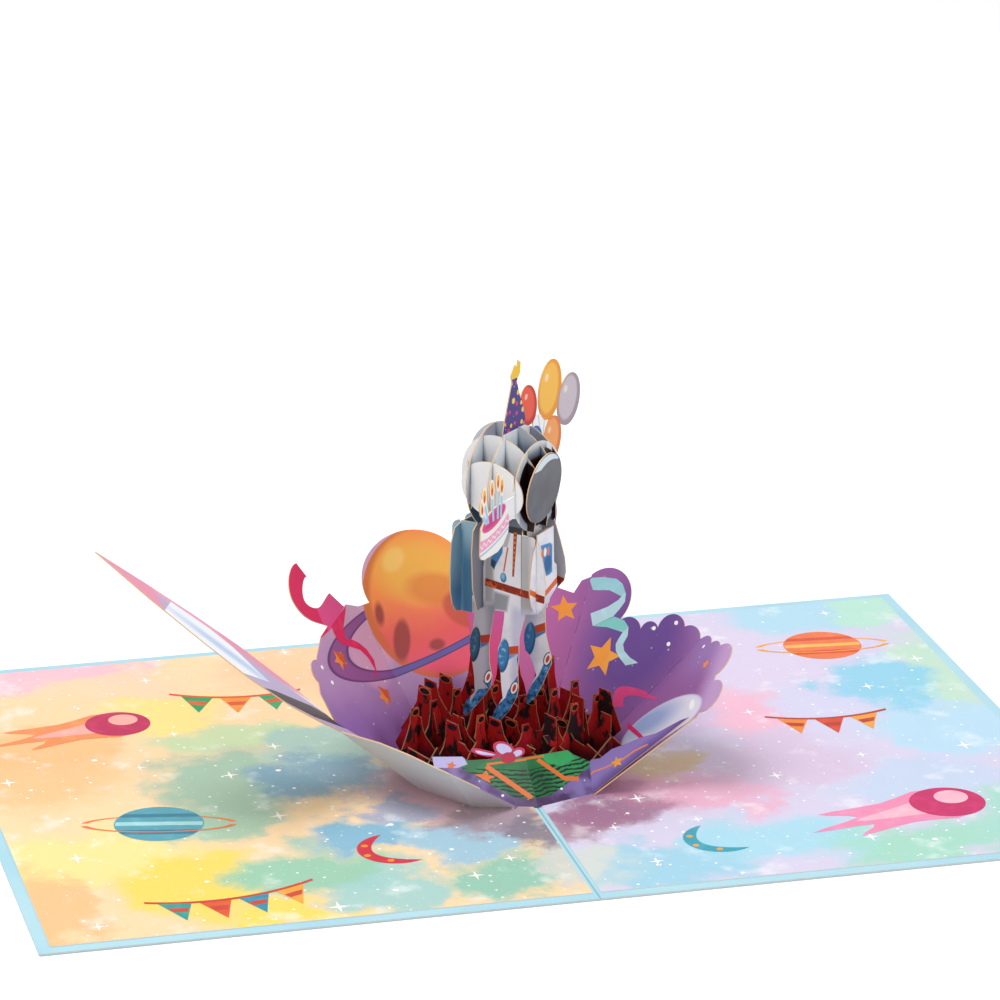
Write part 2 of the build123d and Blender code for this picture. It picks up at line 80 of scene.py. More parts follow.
# Printed colours; the tan of cut edges is linear
TAN = (0.80, 0.53, 0.30)
# darker tan of the ground's cut edges, as painted shade
TAN_SHADED = (0.27, 0.12, 0.06)
WHITE = "ffffff"
SUIT = "fbfafe"
BELT_DARK = "9a2a0c"
BELT_LIGHT = "e06a30"
BLUE_DARK = "204c74"
BLUE_MID = "3f7fb4"
BLUE_LIGHT = "7db8dc"
NIGHT = "22030a"
CRIMSON = "e2185c"
BOW = "b81e4c"
BOW_INSIDE = "c3bce4"
ORANGE = "e0702c"
TEAL = "b5dbe3"


# Colours
def hexed(text):
    """Linear colour from a hex code."""
    out = []
    for k in (0, 2, 4):
        c = int(text[k:k + 2], 16) / 255
        out.append(c / 12.92 if c <= 0.04045 else ((c + 0.055) / 1.055) ** 2.4)
    return tuple(out)


# Numbers in a material

def place(tree, socket, value):
    """Set a socket to a number or colour, or link it to a worked out one."""
    if isinstance(value, str):
        value = hexed(value)
    if isinstance(value, Num):
        tree.links.new(value.out, socket)
    elif isinstance(value, bpy.types.NodeSocket):
        tree.links.new(value, socket)
    elif isinstance(value, (tuple, list)) and len(value) == 3 and socket.type == "RGBA":
        socket.default_value = (*value, 1.0)
    else:
        socket.default_value = value


class Num:
    """A number worked out at each point of a surface."""

    def __init__(self, tree, out):
        self.tree = tree
        self.out = out

    def op(self, kind, *others, clamp=False):
        node = self.tree.nodes.new("ShaderNodeMath")
        node.operation = kind
        node.use_clamp = clamp
        place(self.tree, node.inputs[0], self)
        for k, other in enumerate(others):
            place(self.tree, node.inputs[k + 1], other)
        return Num(self.tree, node.outputs[0])

    def __add__(self, o):
        return self.op("ADD", o)

    __radd__ = __add__

    def __sub__(self, o):
        return self.op("SUBTRACT", o)

    def __rsub__(self, o):
        return (self * -1.0) + o

    def __mul__(self, o):
        return self.op("MULTIPLY", o)

    __rmul__ = __mul__

    def abs(self):
        return self.op("ABSOLUTE")

    def sqrt(self):
        return self.op("SQRT")

    def sin(self):
        return self.op("SINE")

    def max(self, o):
        return self.op("MAXIMUM", o)

    def clip(self):
        return self.op("ADD", 0.0, clamp=True)

    def more(self, o):
        return self.op("GREATER_THAN", o)

    def less(self, o):
        return self.op("LESS_THAN", o)


def length(a, b):
    return (a * a + b * b).sqrt()


def turned(u, v, x, y, turn):
    """Coordinates about a point, turned by an angle in degrees."""
    c, s = cos(radians(turn)), sin(radians(turn))
    du, dv = u - x, v - y
    if turn == 0:
        return du, dv
    return du * c + dv * s, dv * c - du * s


def circle(u, v, x, y, r):
    return length(u - x, v - y) - r


def ellipse(u, v, x, y, rx, ry, turn=0):
    du, dv = turned(u, v, x, y, turn)
    return (length(du * (1 / rx), dv * (1 / ry)) - 1.0) * min(rx, ry)


def bar(u, v, x0, y0, x1, y1, half):
    """Straight strip between two points, square ended."""
    turn = atan2(y1 - y0, x1 - x0) * 180 / pi
    du, dv = turned(u, v, (x0 + x1) / 2, (y0 + y1) / 2, turn)
    return (du.abs() - sqrt((x1 - x0) ** 2 + (y1 - y0) ** 2) / 2).max(dv.abs() - half)


def beyond(u, v, x0, y0, x1, y1):
    """Signed distance from a line, positive to the right of its direction."""
    dx, dy = x1 - x0, y1 - y0
    d = sqrt(dx * dx + dy * dy)
    return (u - x0) * (dy / d) - (v - y0) * (dx / d)


def shape(u, v, points):
    """Convex outline, counter-clockwise."""
    d = None
    for k, (x0, y0) in enumerate(points):
        x1, y1 = points[(k + 1) % len(points)]
        e = beyond(u, v, x0, y0, x1, y1)
        d = e if d is None else d.max(e)
    return d


def inside(d, soft=0.12):
    """1 inside a shape, 0 outside, with a soft edge of so many mm."""
    return d.op("MULTIPLY_ADD", -1.0 / soft, 0.5, clamp=True)


def fade(value, start, end):
    """0 at start, 1 at end, smooth between."""
    node = value.tree.nodes.new("ShaderNodeMapRange")
    node.interpolation_type = "SMOOTHSTEP"
    place(value.tree, node.inputs["Value"], value)
    node.inputs["From Min"].default_value = start
    node.inputs["From Max"].default_value = end
    return Num(value.tree, node.outputs["Result"])


class Ink:
    """Printed paper, built up coat by coat."""

    def __init__(self, name, base):
        self.mat = bpy.data.materials.new(name)
        self.mat.use_nodes = True
        self.tree = self.mat.node_tree
        self.tree.nodes.clear()
        out = self.new("ShaderNodeOutputMaterial")
        self.bsdf = self.new("ShaderNodeBsdfPrincipled")
        self.tree.links.new(self.bsdf.outputs["BSDF"], out.inputs["Surface"])
        coord = self.new("ShaderNodeTexCoord")
        scale = self.new("ShaderNodeVectorMath")
        scale.operation = "SCALE"
        scale.inputs["Scale"].default_value = 1000.0
        self.tree.links.new(coord.outputs["Object"], scale.inputs[0])
        self.point = scale.outputs["Vector"]
        self.normal = self.new("ShaderNodeNewGeometry").outputs["True Normal"]
        self.colour = base

    def new(self, kind):
        return self.tree.nodes.new(kind)

    def dot(self, vector, direction, start=0.0):
        node = self.new("ShaderNodeVectorMath")
        node.operation = "DOT_PRODUCT"
        self.tree.links.new(vector, node.inputs[0])
        node.inputs[1].default_value = direction
        n = Num(self.tree, node.outputs["Value"])
        return n + start if start else n

    def along(self, direction, start=0.0):
        """Distance in mm along a direction."""
        return self.dot(self.point, direction, start)

    def facing(self, direction):
        return self.dot(self.normal, direction)

    def noise(self, size, detail=2.0, rough=0.5, stretch=None, u=None, v=None):
        """Soft noise, 0 to 1, with features of so many mm."""
        node = self.new("ShaderNodeTexNoise")
        node.inputs["Scale"].default_value = 1.0 / size
        node.inputs["Detail"].default_value = detail
        node.inputs["Roughness"].default_value = rough
        vector = self.point if u is None else self.vec(u, v)
        if stretch:
            m = self.new("ShaderNodeVectorMath")
            m.operation = "MULTIPLY"
            m.inputs[1].default_value = stretch
            self.tree.links.new(vector, m.inputs[0])
            vector = m.outputs["Vector"]
        self.tree.links.new(vector, node.inputs["Vector"])
        return Num(self.tree, node.outputs["Fac"])

    def vec(self, u, v, w=0.0):
        node = self.new("ShaderNodeCombineXYZ")
        place(self.tree, node.inputs[0], u)
        place(self.tree, node.inputs[1], v)
        place(self.tree, node.inputs[2], w)
        return node.outputs[0]

    def specks(self, u, v, cell, small, large):
        """Round dots scattered one to a cell, radius between two sizes in mm."""
        node = self.new("ShaderNodeTexVoronoi")
        node.voronoi_dimensions = "2D"
        node.inputs["Scale"].default_value = 1.0 / cell
        self.tree.links.new(self.vec(u, v), node.inputs["Vector"])
        d = Num(self.tree, node.outputs["Distance"]) * cell
        split = self.new("ShaderNodeSeparateColor")
        self.tree.links.new(node.outputs["Color"], split.inputs[0])
        pick = Num(self.tree, split.outputs[0])
        return inside(d - (pick * pick * (large - small) + small), 0.14)

    def coat(self, colour, mask):
        """Another colour where the mask is 1."""
        node = self.new("ShaderNodeMix")
        node.data_type = "RGBA"
        place(self.tree, node.inputs[0], mask)
        place(self.tree, node.inputs[6], self.colour)
        place(self.tree, node.inputs[7], colour)
        self.colour = node.outputs[2]

    def blend(self, a, b, mask):
        """Mix of two colours as a colour."""
        node = self.new("ShaderNodeMix")
        node.data_type = "RGBA"
        place(self.tree, node.inputs[0], mask)
        place(self.tree, node.inputs[6], a)
        place(self.tree, node.inputs[7], b)
        return node.outputs[2]

    def finish(self, rough=0.5, tooth=0.10, sheen=0.35):
        """Paper grain: mottled tone, roughness and a fine bump."""
        grain = self.noise(0.35, 3.0, 0.6)
        cloud = self.noise(9.0, 2.0, 0.5)
        tone = grain * 0.05 + cloud * 0.04 + 0.955
        node = self.new("ShaderNodeMix")
        node.data_type = "RGBA"
        node.blend_type = "MULTIPLY"
        node.inputs[0].default_value = 1.0
        place(self.tree, node.inputs[6], self.colour)
        grey = self.new("ShaderNodeCombineColor")
        for k in range(3):
            place(self.tree, grey.inputs[k], tone)
        self.tree.links.new(grey.outputs[0], node.inputs[7])
        self.tree.links.new(node.outputs[2], self.bsdf.inputs["Base Color"])
        place(self.tree, self.bsdf.inputs["Roughness"], grain * 0.12 + (rough - 0.06))
        self.bsdf.inputs["Specular IOR Level"].default_value = sheen
        bump = self.new("ShaderNodeBump")
        bump.inputs["Strength"].default_value = tooth
        bump.inputs["Distance"].default_value = 0.00004
        self.tree.links.new(grain.out, bump.inputs["Height"])
        self.tree.links.new(bump.outputs["Normal"], self.bsdf.inputs["Normal"])
        return self.mat


def dress(node, material):
    """Give a CAD node one material."""
    o = NODES[node]
    o.data.materials.clear()
    o.data.materials.append(material)


# Flat print as thin shapes
def disc_points(x, y, rx, ry=None, turn=0, n=36, a0=0, a1=360):
    ry = rx if ry is None else ry
    c, s = cos(radians(turn)), sin(radians(turn))
    out = []
    full = a1 - a0 == 360
    for k in range(n if full else n + 1):
        a = radians(a0 + (a1 - a0) * k / n)
        px, py = rx * cos(a), ry * sin(a)
        out.append((x + px * c - py * s, y + px * s + py * c))
    return out


def ring_points(x, y, r, band, ry=None, turn=0, n=40, a0=0, a1=360):
    """Open ring as an outline that doubles back."""
    ry = r if ry is None else ry
    k = (r - band) / r
    outer = disc_points(x, y, r, ry, turn, n, a0, a1 - 0.01)
    inner = disc_points(x, y, r * k, ry * k, turn, n, a0, a1 - 0.01)
    return outer + inner[::-1]


def star_points(x, y, r, inner=0.45, turn=90, arms=5):
    out = []
    for k in range(2 * arms):
        a = radians(turn + 180 / arms * k)
        d = r if k % 2 == 0 else r * inner
        out.append((x + d * cos(a), y + d * sin(a)))
    return out


def sparkle_points(x, y, rx, ry):
    out = []
    for k in range(4):
        a = pi / 2 * k
        out.append((x + rx * cos(a), y + ry * sin(a)))
        b = a + pi / 4
        out.append((x + 0.22 * rx * cos(b), y + 0.22 * ry * sin(b)))
    return out


def crescent_points(x, y, r, turn, depth=0.62, n=20):
    out = []
    for k in range(n + 1):
        a = radians(turn - 100 + 200 * k / n)
        out.append((x + r * cos(a), y + r * sin(a)))
    a0, a1 = radians(turn + 100), radians(turn - 100)
    p0 = Vector((x + r * cos(a0), y + r * sin(a0)))
    p1 = Vector((x + r * cos(a1), y + r * sin(a1)))
    bulge = Vector((x + r * depth * cos(radians(turn)), y + r * depth * sin(radians(turn))))
    for k in range(1, n):
        t = k / n
        mid = p0 * (1 - t) ** 2 + (bulge * 2 - (p0 + p1) / 2) * 2 * t * (1 - t) + p1 * t ** 2
        out.append((mid.x, mid.y))
    return out


def smooth(points, steps=5, closed=True):
    """Rounded outline through the points."""
    out = []
    n = len(points)
    for i in range(n if closed else n - 1):
        p0, p1, p2, p3 = (Vector(points[(i + k) % n]) for k in (-1, 0, 1, 2))
        if not closed:
            p0 = Vector(points[max(i - 1, 0)])
            p3 = Vector(points[min(i + 2, n - 1)])
        for s in range(steps):
            t = s / steps
            p = 0.5 * (2 * p1 + (p2 - p0) * t + (2 * p0 - 5 * p1 + 4 * p2 - p3) * t * t
                       + (3 * p1 - 3 * p2 + p3 - p0) * t ** 3)
            out.append((p.x, p.y))
    return out


class Sheet:
    """A flat surface that print is laid on: origin, across, up and out, in mm."""

    def __init__(self, origin, across, up, out):
        self.o, self.x, self.y, self.n = Vector(origin), Vector(across), Vector(up), Vector(out)

    def at(self, u, v, lift=0.0):
        return (self.o + self.x * u + self.y * v + self.n * lift) * MM


class Print:
    """Flat shapes of colour on one piece of paper, as one mesh."""

    def __init__(self, name, node, slot):
        self.name, self.node, self.slot = name, node, slot
        self.verts, self.faces, self.index, self.mats = [], [], [], []
        o = NODES[node]
        co = [v.co.copy() for v in o.data.vertices]
        self.tree = BVHTree.FromPolygons(co, [tuple(p.vertices) for p in o.data.polygons])

    def backed(self, sheet, points):
        """True if there is paper under every point."""
        for u, v in points:
            hit = self.tree.ray_cast(sheet.at(u, v, 0.2), -sheet.n, 0.0004)
            if hit[0] is None:
                return False
        return True

    def lay(self, sheet, points, material, layer=1, whole=False):
        if whole and not self.backed(sheet, points):
            return
        base = len(self.verts)
        self.verts += [sheet.at(u, v, 0.012 + 0.012 * layer) for u, v in points]
        if material not in self.mats:
            self.mats.append(material)
        loop = [Vector((u, v, 0)) for u, v in points]
        for tri in tessellate_polygon([loop]):
            a, b, c = (self.verts[base + k] for k in tri)
            turn = (b - a).cross(c - a).dot(sheet.n)
            if abs(turn) < 1e-14:
                continue
            order = tri if turn > 0 else (tri[0], tri[2], tri[1])
            self.faces.append([base + k for k in order])
            self.index.append(self.mats.index(material))

    def done(self):
        mesh = bpy.data.meshes.new(self.name)
        mesh.from_pydata([tuple(v) for v in self.verts], [], self.faces)
        for m in self.mats:
            mesh.materials.append(m)
        mesh.polygons.foreach_set("material_index", self.index)
        mesh.update()
        o = bpy.data.objects.new(self.name, mesh)
        bpy.context.scene.collection.objects.link(o)
        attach(o, "root")
        return o


INKS = {}


def ink(code):
    """A plain printed colour with the paper's grain."""
    if code not in INKS:
        k = Ink("ink_" + code, hexed(code))
        k.coat(tuple(min(1.0, c * 1.25 + 0.02) for c in hexed(code)),
               fade(k.noise(3.5, 2.0), 0.45, 0.75) * 0.5)
        INKS[code] = k.finish(0.5)
    return INKS[code]


# Bowl, as in the frame
def ring(i):
    a = radians(36 * (i % 10))
    return Vector((RING_X * sin(a), RING_YC - RING_Y * cos(a), DECK))


def facet_axes(i):
    along = (ring(i + 1) - ring(i)).normalized()
    out = Vector((along.y, -along.x, 0))
    s = radians(SLOPES[i % 10])
    up = out * cos(s) + Vector((0, 0, sin(s)))
    return along, up, along.cross(up)


def crease_dir(i):
    d = facet_axes(i - 1)[2].cross(facet_axes(i)[2]).normalized()
    return d if d.z > 0 else -d


def inner_sheet(i):
    along, up, n = facet_axes(i)
    return Sheet(ring(i) - n * PAPER, along, up, -n)


def lay_flat(base, chain):
    """Flat print coordinates of each facet: origin, across and up of its own axes."""
    flat = {base: (Vector((0, 0)), Vector((1, 0)), Vector((0, 1)))}
    for prev, nxt, corner in chain:
        o, ea, eu = flat[prev]
        al, up, _ = facet_axes(prev)
        rel = ring(corner) - ring(prev)
        c2 = o + ea * rel.dot(al) + eu * rel.dot(up)
        d3 = crease_dir(corner)
        d2 = ea * d3.dot(al) + eu * d3.dot(up)
        al2, up2, _ = facet_axes(nxt)
        ang = atan2(d2.y, d2.x) - atan2(d3.dot(up2), d3.dot(al2))
        ea2 = Vector((cos(ang), sin(ang)))
        eu2 = Vector((-sin(ang), cos(ang)))
        rel = ring(corner) - ring(nxt)
        flat[nxt] = (c2 - ea2 * rel.dot(al2) - eu2 * rel.dot(up2), ea2, eu2)
    return flat


def on_facet(k, i):
    """A facet's own coordinates: along its base and up its slope."""
    along, up, _ = facet_axes(i)
    return k.along(along, -ring(i).dot(along)), k.along(up, -ring(i).dot(up))


def wall_ink(name, base, flat):
    """A bowl wall's paper: its ink, print coordinates, facet masks, cut edges and outer face."""
    k = Ink(name, base)
    u = v = within = outer = None
    masks = {}
    for i, (o, ea, eu) in flat.items():
        al, up, n = facet_axes(i)
        tu = al * ea.x + up * eu.x
        tv = al * ea.y + up * eu.y
        m = k.facing(-n).more(ON)
        masks[i] = m
        pu = k.along(tu, o.x - ring(i).dot(tu)) * m
        pv = k.along(tv, o.y - ring(i).dot(tv)) * m
        back = k.facing(n).more(ON)
        u = pu if u is None else u + pu
        v = pv if v is None else v + pv
        within = m if within is None else within + m
        outer = back if outer is None else outer + back
    edge = 1.0 - (within + outer).clip()
    return k, u, v, masks, edge, outer.clip()


def dashes(k, masks, corner, facets, low, high):
    """Dashed score line along the fold at a corner, drawn in both facets' own coordinates."""
    foot = ring(corner)
    d = crease_dir(corner)
    run = k.along(d, -foot.dot(d))
    on = (run * (pi / SCORE_PITCH)).sin().more(-0.25) * run.more(low) * run.less(high)
    total = None
    for i in facets:
        al = facet_axes(i)[0]
        side = (al - d * al.dot(d)).normalized()
        off = k.along(side, -foot.dot(side)).abs()
        line = inside(off - 0.16, 0.1) * on * masks[i]
        total = line if total is None else total.max(line)
    return total


# Left wall of the bowl

def ball_ink(k, u, v, cloud, on):
    """Big ball with its hoop."""
    ball = ellipse(u, v, 4.4, 33.0, 18.6, 19.0)
    du, dv = turned(u, v, 4.8, 29.2, -12.2)
    outer_ring = (length(du * (1 / 44.5), dv * (1 / 9.7)) - 1.0) * 9.7
    inner_ring = (length(du * (1 / 33.2), dv * (1 / 7.9)) - 1.0) * 7.9
    band = inside(outer_ring) * (1.0 - inside(inner_ring))
    depth = fade(inner_ring - (outer_ring + inner_ring) * 0.5, -1.2, 1.2)
    hue = k.blend("3a2a68", "93508e", depth)
    hue2 = k.blend("36346a", "6a5aa6", depth)
    hue = k.blend(hue2, hue, fade(u, 14.0, 30.0))
    dark_rim = inside(outer_ring.abs() - 0.28, 0.3).max(inside(inner_ring.abs() - 0.28, 0.3))
    hue = k.blend(hue, "38204f", dark_rim * 0.7)
    behind = 1.0 - inside(ball) * dv.more(0.0)
    body = k.blend("ff9248", "ee5a58", fade(v * -1.0 + cloud * 8, -34.0, -20.0))
    body = k.blend(body, "f25672", fade(v * -1.0 + cloud * 5, -23.0, -15.0))
    body = k.blend(body, "f8b348", inside(ellipse(u, v, 5.0, 41.5, 12.5, 7.6, 12), 5.0))
    body = k.blend(body, "fac565", inside(ellipse(u, v, 11.2, 45.2, 3.6, 2.5, -35), 1.2))
    body = k.blend(body, "e57a34", inside(ellipse(u, v, 2.0, 36.0, 8.0, 4.0, 14), 2.0) * 0.7)
    body = k.blend(body, "c8503a", inside(ellipse(u, v, -4.6, 29.4, 6.4, 4.4, 30), 1.0) * 0.85)
    limb = ellipse(u, v, 3.2, 33.4, 17.6, 18.4)
    body = k.blend(body, "cf6a34", (1.0 - inside(limb, 1.2)) * 0.75)
    for x, y, rx, ry, turn in ((19.2, 32.8, 1.2, 2.8, 10), (15.2, 25.4, 2.3, 5.2, 20),
                               (6.0, 22.5, 2.2, 1.4, 0)):
        body = k.blend(body, "9a3836", inside(ellipse(u, v, x, y, rx, ry, turn), 0.8) * 0.9)
    k.coat(body, inside(ball) * on)
    k.coat(hue, band * behind * on)


def spike_ink(k, cloud, on):
    """The long spike's own print, with a charcoal band along its lower edge that is painted shade."""
    su, sv = on_facet(k, 7)
    spike = k.blend("b9a9cc", "e9a0b8", fade(su + cloud * 4, 12.0, 6.0))
    pale = shape(su, sv, [(17.0, 47.0), (30.0, 60.0), (30.0, 70.0), (20.0, 79.6), (4.4, 74.0), (3.6, 62.0),
                          (6.0, 56.0)])
    sky = k.blend("f4f6fb", "b9cfee", inside(ellipse(su, sv, 16.0, 60.0, 3.4, 16.0, 8), 4.0))
    spike = k.blend(spike, sky, inside(pale))
    spike = k.blend(spike, "ea8fab", fade(sv, 78.5, 80.0) * (1.0 - inside(pale)))
    spike = k.blend(spike, "e58aa8", inside(ellipse(su, sv, 2.6, 48.0, 4.6, 11.0, 8), 0.8) * 0.8)
    # charcoal band near the spike's lower edge is painted shade of its underside
    dark = shape(su, sv, [(5.0, 17.4), (21.0, 34.6), (27.6, 45.5), (29.8, 53.5), (22.3, 46.5),
                          (10.2, 32.2), (6.4, 24.0)])
    spike = k.blend(spike, "3c3a44", inside(dark, 0.3))
    spike = k.blend(spike, "f3e4f0", inside(ellipse(su, sv, 6.6, 29.0, 1.0, 7.6, -4), 0.6))
    spike = k.blend(spike, "8d4a82", inside(ellipse(su, sv, 1.0, 22.0, 2.2, 6.0, -40), 0.8))
    k.coat(spike, on * fade(sv, 9.0, 17.0))


def streamer_ink(k, on):
    """The streamer that stands free of the wall."""
    a, b = on_facet(k, 6)
    free = shape(a, b, [(1.2, 38.9), (12.6, 36.6), (30.0, 36.4), (30.0, 58.0), (2.0, 58.0)])
    near = shape(a, b, [(0.8, 38.0), (14.2, 36.2), (15.6, 38.2), (13.6, 44.2), (4.0, 44.6)])
    k.coat(k.blend(CRIMSON, "e84b8c", inside(near)), inside(free, 0.2) * on)


def left_wall():
    flat = lay_flat(5, [(5, 6, 6), (6, 7, 7), (7, 8, 8), (8, 9, 9)])
    k, u, v, masks, edge, outer = wall_ink("bowl_left_paper", "b58bb8", flat)
    cloud = k.noise(14, 3.0, 0.55)
    # lilac field, paler at the top left, deeper low down
    k.coat("d8a8c4", fade(v + cloud * 12, 22.0, 44.0))
    k.coat("9268ac", fade(v * -1.0 + cloud * 10, -14.0, 2.0))
    k.coat("dca2bd", inside(ellipse(u, v, 28.0, 23.0, 9.0, 8.0, -30), 3.0) * 0.8)
    k.coat(WHITE, k.specks(u, v, 6.5, 0.02, 0.34) * 0.55)
    ball_ink(k, u, v, cloud, masks[5].max(masks[6]))
    spike_ink(k, cloud, masks[7])
    streamer_ink(k, masks[6])
    # scores, plain outside and tan cut edges
    for corner, pair, low, high in ((6, (5, 6), 22, 35), (7, (6, 7), 6, 24), (8, (7, 8), 6, 22)):
        k.coat("4a3044", dashes(k, masks, corner, pair, low, high) * 0.55)
    k.coat(k.blend("d7d7da", "e6e6e6", cloud), outer)
    k.coat(TAN, edge)
    dress("bowl_wall_left", k.finish(0.46))


def left_wall_print():
    p = Print("left_wall_print", "bowl_wall_left", "bowl_left_print")
    # strip over the gap at the back fold
    along, up, _ = facet_axes(5)
    fold = crease_dir(5) * BACK_FOLD
    x, y = fold.dot(along), fold.dot(up)
    p.lay(inner_sheet(5), [(-0.45, 0), (0.4, 0), (x + 0.4, y), (x - 0.45, y)], ink("d0507c"), 0)
    f6 = inner_sheet(6)
    ribbon = [(1.0, 38.6), (7.6, 35.0), (9.6, 32.6), (7.4, 31.6), (5.0, 29.6), (3.4, 27.2), (3.0, 24.0),
              (5.0, 21.3), (7.2, 20.4), (5.0, 22.2), (4.9, 25.4), (6.3, 28.1), (9.3, 30.1), (12.2, 31.8),
              (13.3, 33.8), (13.2, 35.4), (12.4, 37.2)]
    p.lay(f6, ribbon, ink(CRIMSON), 2)
    p.lay(f6, star_points(17.3, 29.6, 2.9, 0.45, 80), ink("f08a2a"), 1)
    p.lay(f6, [(17.3, 29.6), (17.8, 32.5), (16.0, 30.9), (14.4, 30.0), (15.5, 28.6), (16.2, 26.8)],
          ink("d2542c"), 2)
    p.lay(f6, star_points(7.6, 15.6, 3.0, 0.45, 84), ink("f08a2a"), 1)
    p.lay(f6, [(7.6, 15.6), (7.9, 18.6), (6.3, 17.0), (4.7, 16.2), (6.0, 14.4), (6.0, 12.8)],
          ink("d2542c"), 2)
    for x, y in ((26.6, 31.0), (26.2, 26.6)):
        p.lay(f6, disc_points(x, y, 0.55, n=16), ink(WHITE), 1)
    p.done()


# Right wall of the bowl

def bubble_ink(k, on):
    """Glassy bubble beside the wing."""
    a, b = on_facet(k, 2)
    bubble = ellipse(a, b, -1.6, 15.6, 7.0, 14.4, 44)
    glass = k.blend("e3e2f2", "9db4e2", inside(ellipse(a, b, 4.0, 13.6, 4.0, 9.0, 44), 4.0))
    glass = k.blend(glass, "e9e2d6", inside(ellipse(a, b, -0.4, 8.8, 2.2, 3.4, 40), 1.6))
    glass = k.blend(glass, WHITE, inside(ellipse(a, b, -7.6, 24.2, 1.8, 0.9, 20), 0.5))
    glass = k.blend(glass, "cfc0e4", inside(bubble.abs() - 0.25, 0.6))
    k.coat(glass, inside(bubble, 0.3) * on)


def right_wall():
    flat = lay_flat(4, [(4, 3, 4), (3, 2, 3), (2, 1, 2)])
    k, u, v, masks, edge, outer = wall_ink("bowl_right_paper", "985fa0", flat)
    cloud = k.noise(12, 3.0, 0.55)
    k.coat("cc6ca6", fade(u + cloud * 8, -9.0, 12.0))
    k.coat("6c4a96", inside(ellipse(u, v, -24.0, 20.0, 13.0, 17.0, 35), 10.0))
    k.coat("9d78b8", fade(u * -1.0 + cloud * 6, 38.0, 50.0) * fade(v, 2.0, 14.0))
    k.coat("c39cce", fade(u * -1.0 + cloud * 4, 50.0, 58.0))
    k.coat(WHITE, k.specks(u, v, 5.5, 0.02, 0.3) * 0.45)
    bubble_ink(k, masks[2])
    # pink near the back fold
    a, b = on_facet(k, 4)
    pink = k.blend("dc4f84", "c75a98", fade(b, 18.0, 30.0))
    k.coat(pink, fade(a + cloud * 2.0, 11.0, 12.4) * masks[4])
    for corner, pair, low, high in ((3, (2, 3), 6, 31), (4, (3, 4), 8, 34)):
        k.coat("3a2038", dashes(k, masks, corner, pair, low, high) * 0.6)
    k.coat(k.blend("d9d6d6", "e8e6e4", cloud), outer)
    k.coat(TAN, edge)
    dress("bowl_wall_right", k.finish(0.46))


def right_wall_print():
    p = Print("right_wall_print", "bowl_wall_right", "bowl_right_print")
    f3, f4, f2 = inner_sheet(3), inner_sheet(4), inner_sheet(2)
    p.lay(f3, [(20.9, 38.4), (20.2, 39.0), (17.2, 39.9), (13.2, 40.4), (10.8, 39.6), (8.9, 37.6),
               (9.9, 36.6), (13.9, 37.2), (18.7, 36.1)], ink("98cdd6"), 1)
    p.lay(f3, [(14.8, 27.6), (9.6, 31.3), (6.4, 31.1), (4.4, 29.8), (5.5, 28.2), (10.5, 28.3)],
          ink("83cfc9"), 1)
    p.lay(f3, [(8.9, 37.7), (8.2, 35.5), (8.9, 33.5), (10.0, 31.2), (14.8, 27.6), (16.8, 30.4),
               (12.7, 33.1), (10.3, 35.5), (9.7, 36.8)], ink(TEAL), 2)
    p.lay(f3, [(4.4, 29.8), (3.7, 27.7), (4.1, 25.4), (3.0, 23.9), (0.8, 22.8), (-2.2, 22.1), (1.1, 20.6),
               (3.5, 21.9), (5.4, 23.3), (6.2, 24.9), (6.0, 26.4), (5.5, 28.2)], ink(TEAL), 2)
    crimson = ink("dc3f80")
    p.lay(f3, [(-0.2, 10.1), (0.9, 11.4), (1.3, 12.7), (1.3, 13.9), (0.8, 14.9), (-0.4, 15.6),
               (-2.1, 15.9), (-5.2, 16.1), (-8.4, 15.8), (-7.75, 14.5), (-5.6, 14.4), (-3.1, 13.8),
               (-1.9, 13.0), (-2.2, 12.0), (-2.7, 10.8)], crimson, 1)
    p.lay(f2, [(14.4, 17.4), (9.3, 18.8), (9.2, 18.1), (11.6, 17.4), (14.6, 16.1)], crimson, 1)
    p.lay(f2, [(12.6, 9.3), (4.8, 10.0), (-0.6, 10.2), (0.4, 9.3), (11.0, 8.3)], ink("d8205e"), 1)
    p.lay(f4, star_points(-2.9, 30.1, 3.5, 0.46, 80), ink("f7983c"), 1)
    p.lay(f3, star_points(8.5, 21.1, 5.2, 0.46, 92), ink("f7a03c"), 1)
    p.lay(f2, star_points(1.1, 33.0, 1.5, 0.45, 60), ink("f7933c"), 1)
    for x, y in ((-2.9, 31.3), (-8.6, 34.1), (-8.7, 28.6), (1.2, 10.1)):
        p.lay(f3, disc_points(x, y, 0.55, n=16), ink(WHITE), 1, whole=True)
    p.lay(f2, disc_points(8.3, 35.4, 0.5, n=16), ink(WHITE), 1, whole=True)
    p.done()


# Pages and cover
# Washes of the left page: middle, half sizes and colour; the mauve patches at (-13, -38) and (-6, -49), by
# the bowl's foot, are painted shadow
LEFT_WASH_AND_SHADOW = [(-92, 84, 22, 14, "f7c4d4"), (-115, 20, 28, 28, "fcc68c"), (-49, 73, 23, 19, "fddfb2"),
             (-83, 70, 18, 12, "fcdab4"), (-72, 48, 19, 10, "fbe488"), (-106, 32, 19, 13, "fdc488"),
             (-110, -40, 28, 21, "fbe694"), (-123, -68, 11, 26, "fdc288"), (-85, -59, 18, 20, "fbda58"),
             (-72, -83, 20, 8, "f9dc5a"), (-60, 30, 22, 10, "c6dcac"), (-66, -1, 20, 24, "9cc2ac"),
             (-76, -25, 15, 10, "a6ccb0"), (-40, 19, 18, 13, "a4c8c0"), (-42, -2, 18, 16, "7ba4bc"),
             (-60, -59, 18, 18, "8ecab0"), (-25, -18, 16, 16, "dcb6c4"), (-34, -27, 10, 8, "a8aec4"),
             (-42, -39, 15, 10, "74b6d4"), (-43, -73, 13, 15, "a0d0cc"), (-23, -49, 15, 13, "98c6dc"),
             (-17, -73, 15, 14, "8ac8b4"), (-2, -68, 9, 15, "cfd4cc"), (-13, -38, 13, 12, "a38c9c"),
             (-6, -49, 11, 11, "857c8c"), (-30, 70, 30, 22, "ffcfa4")]
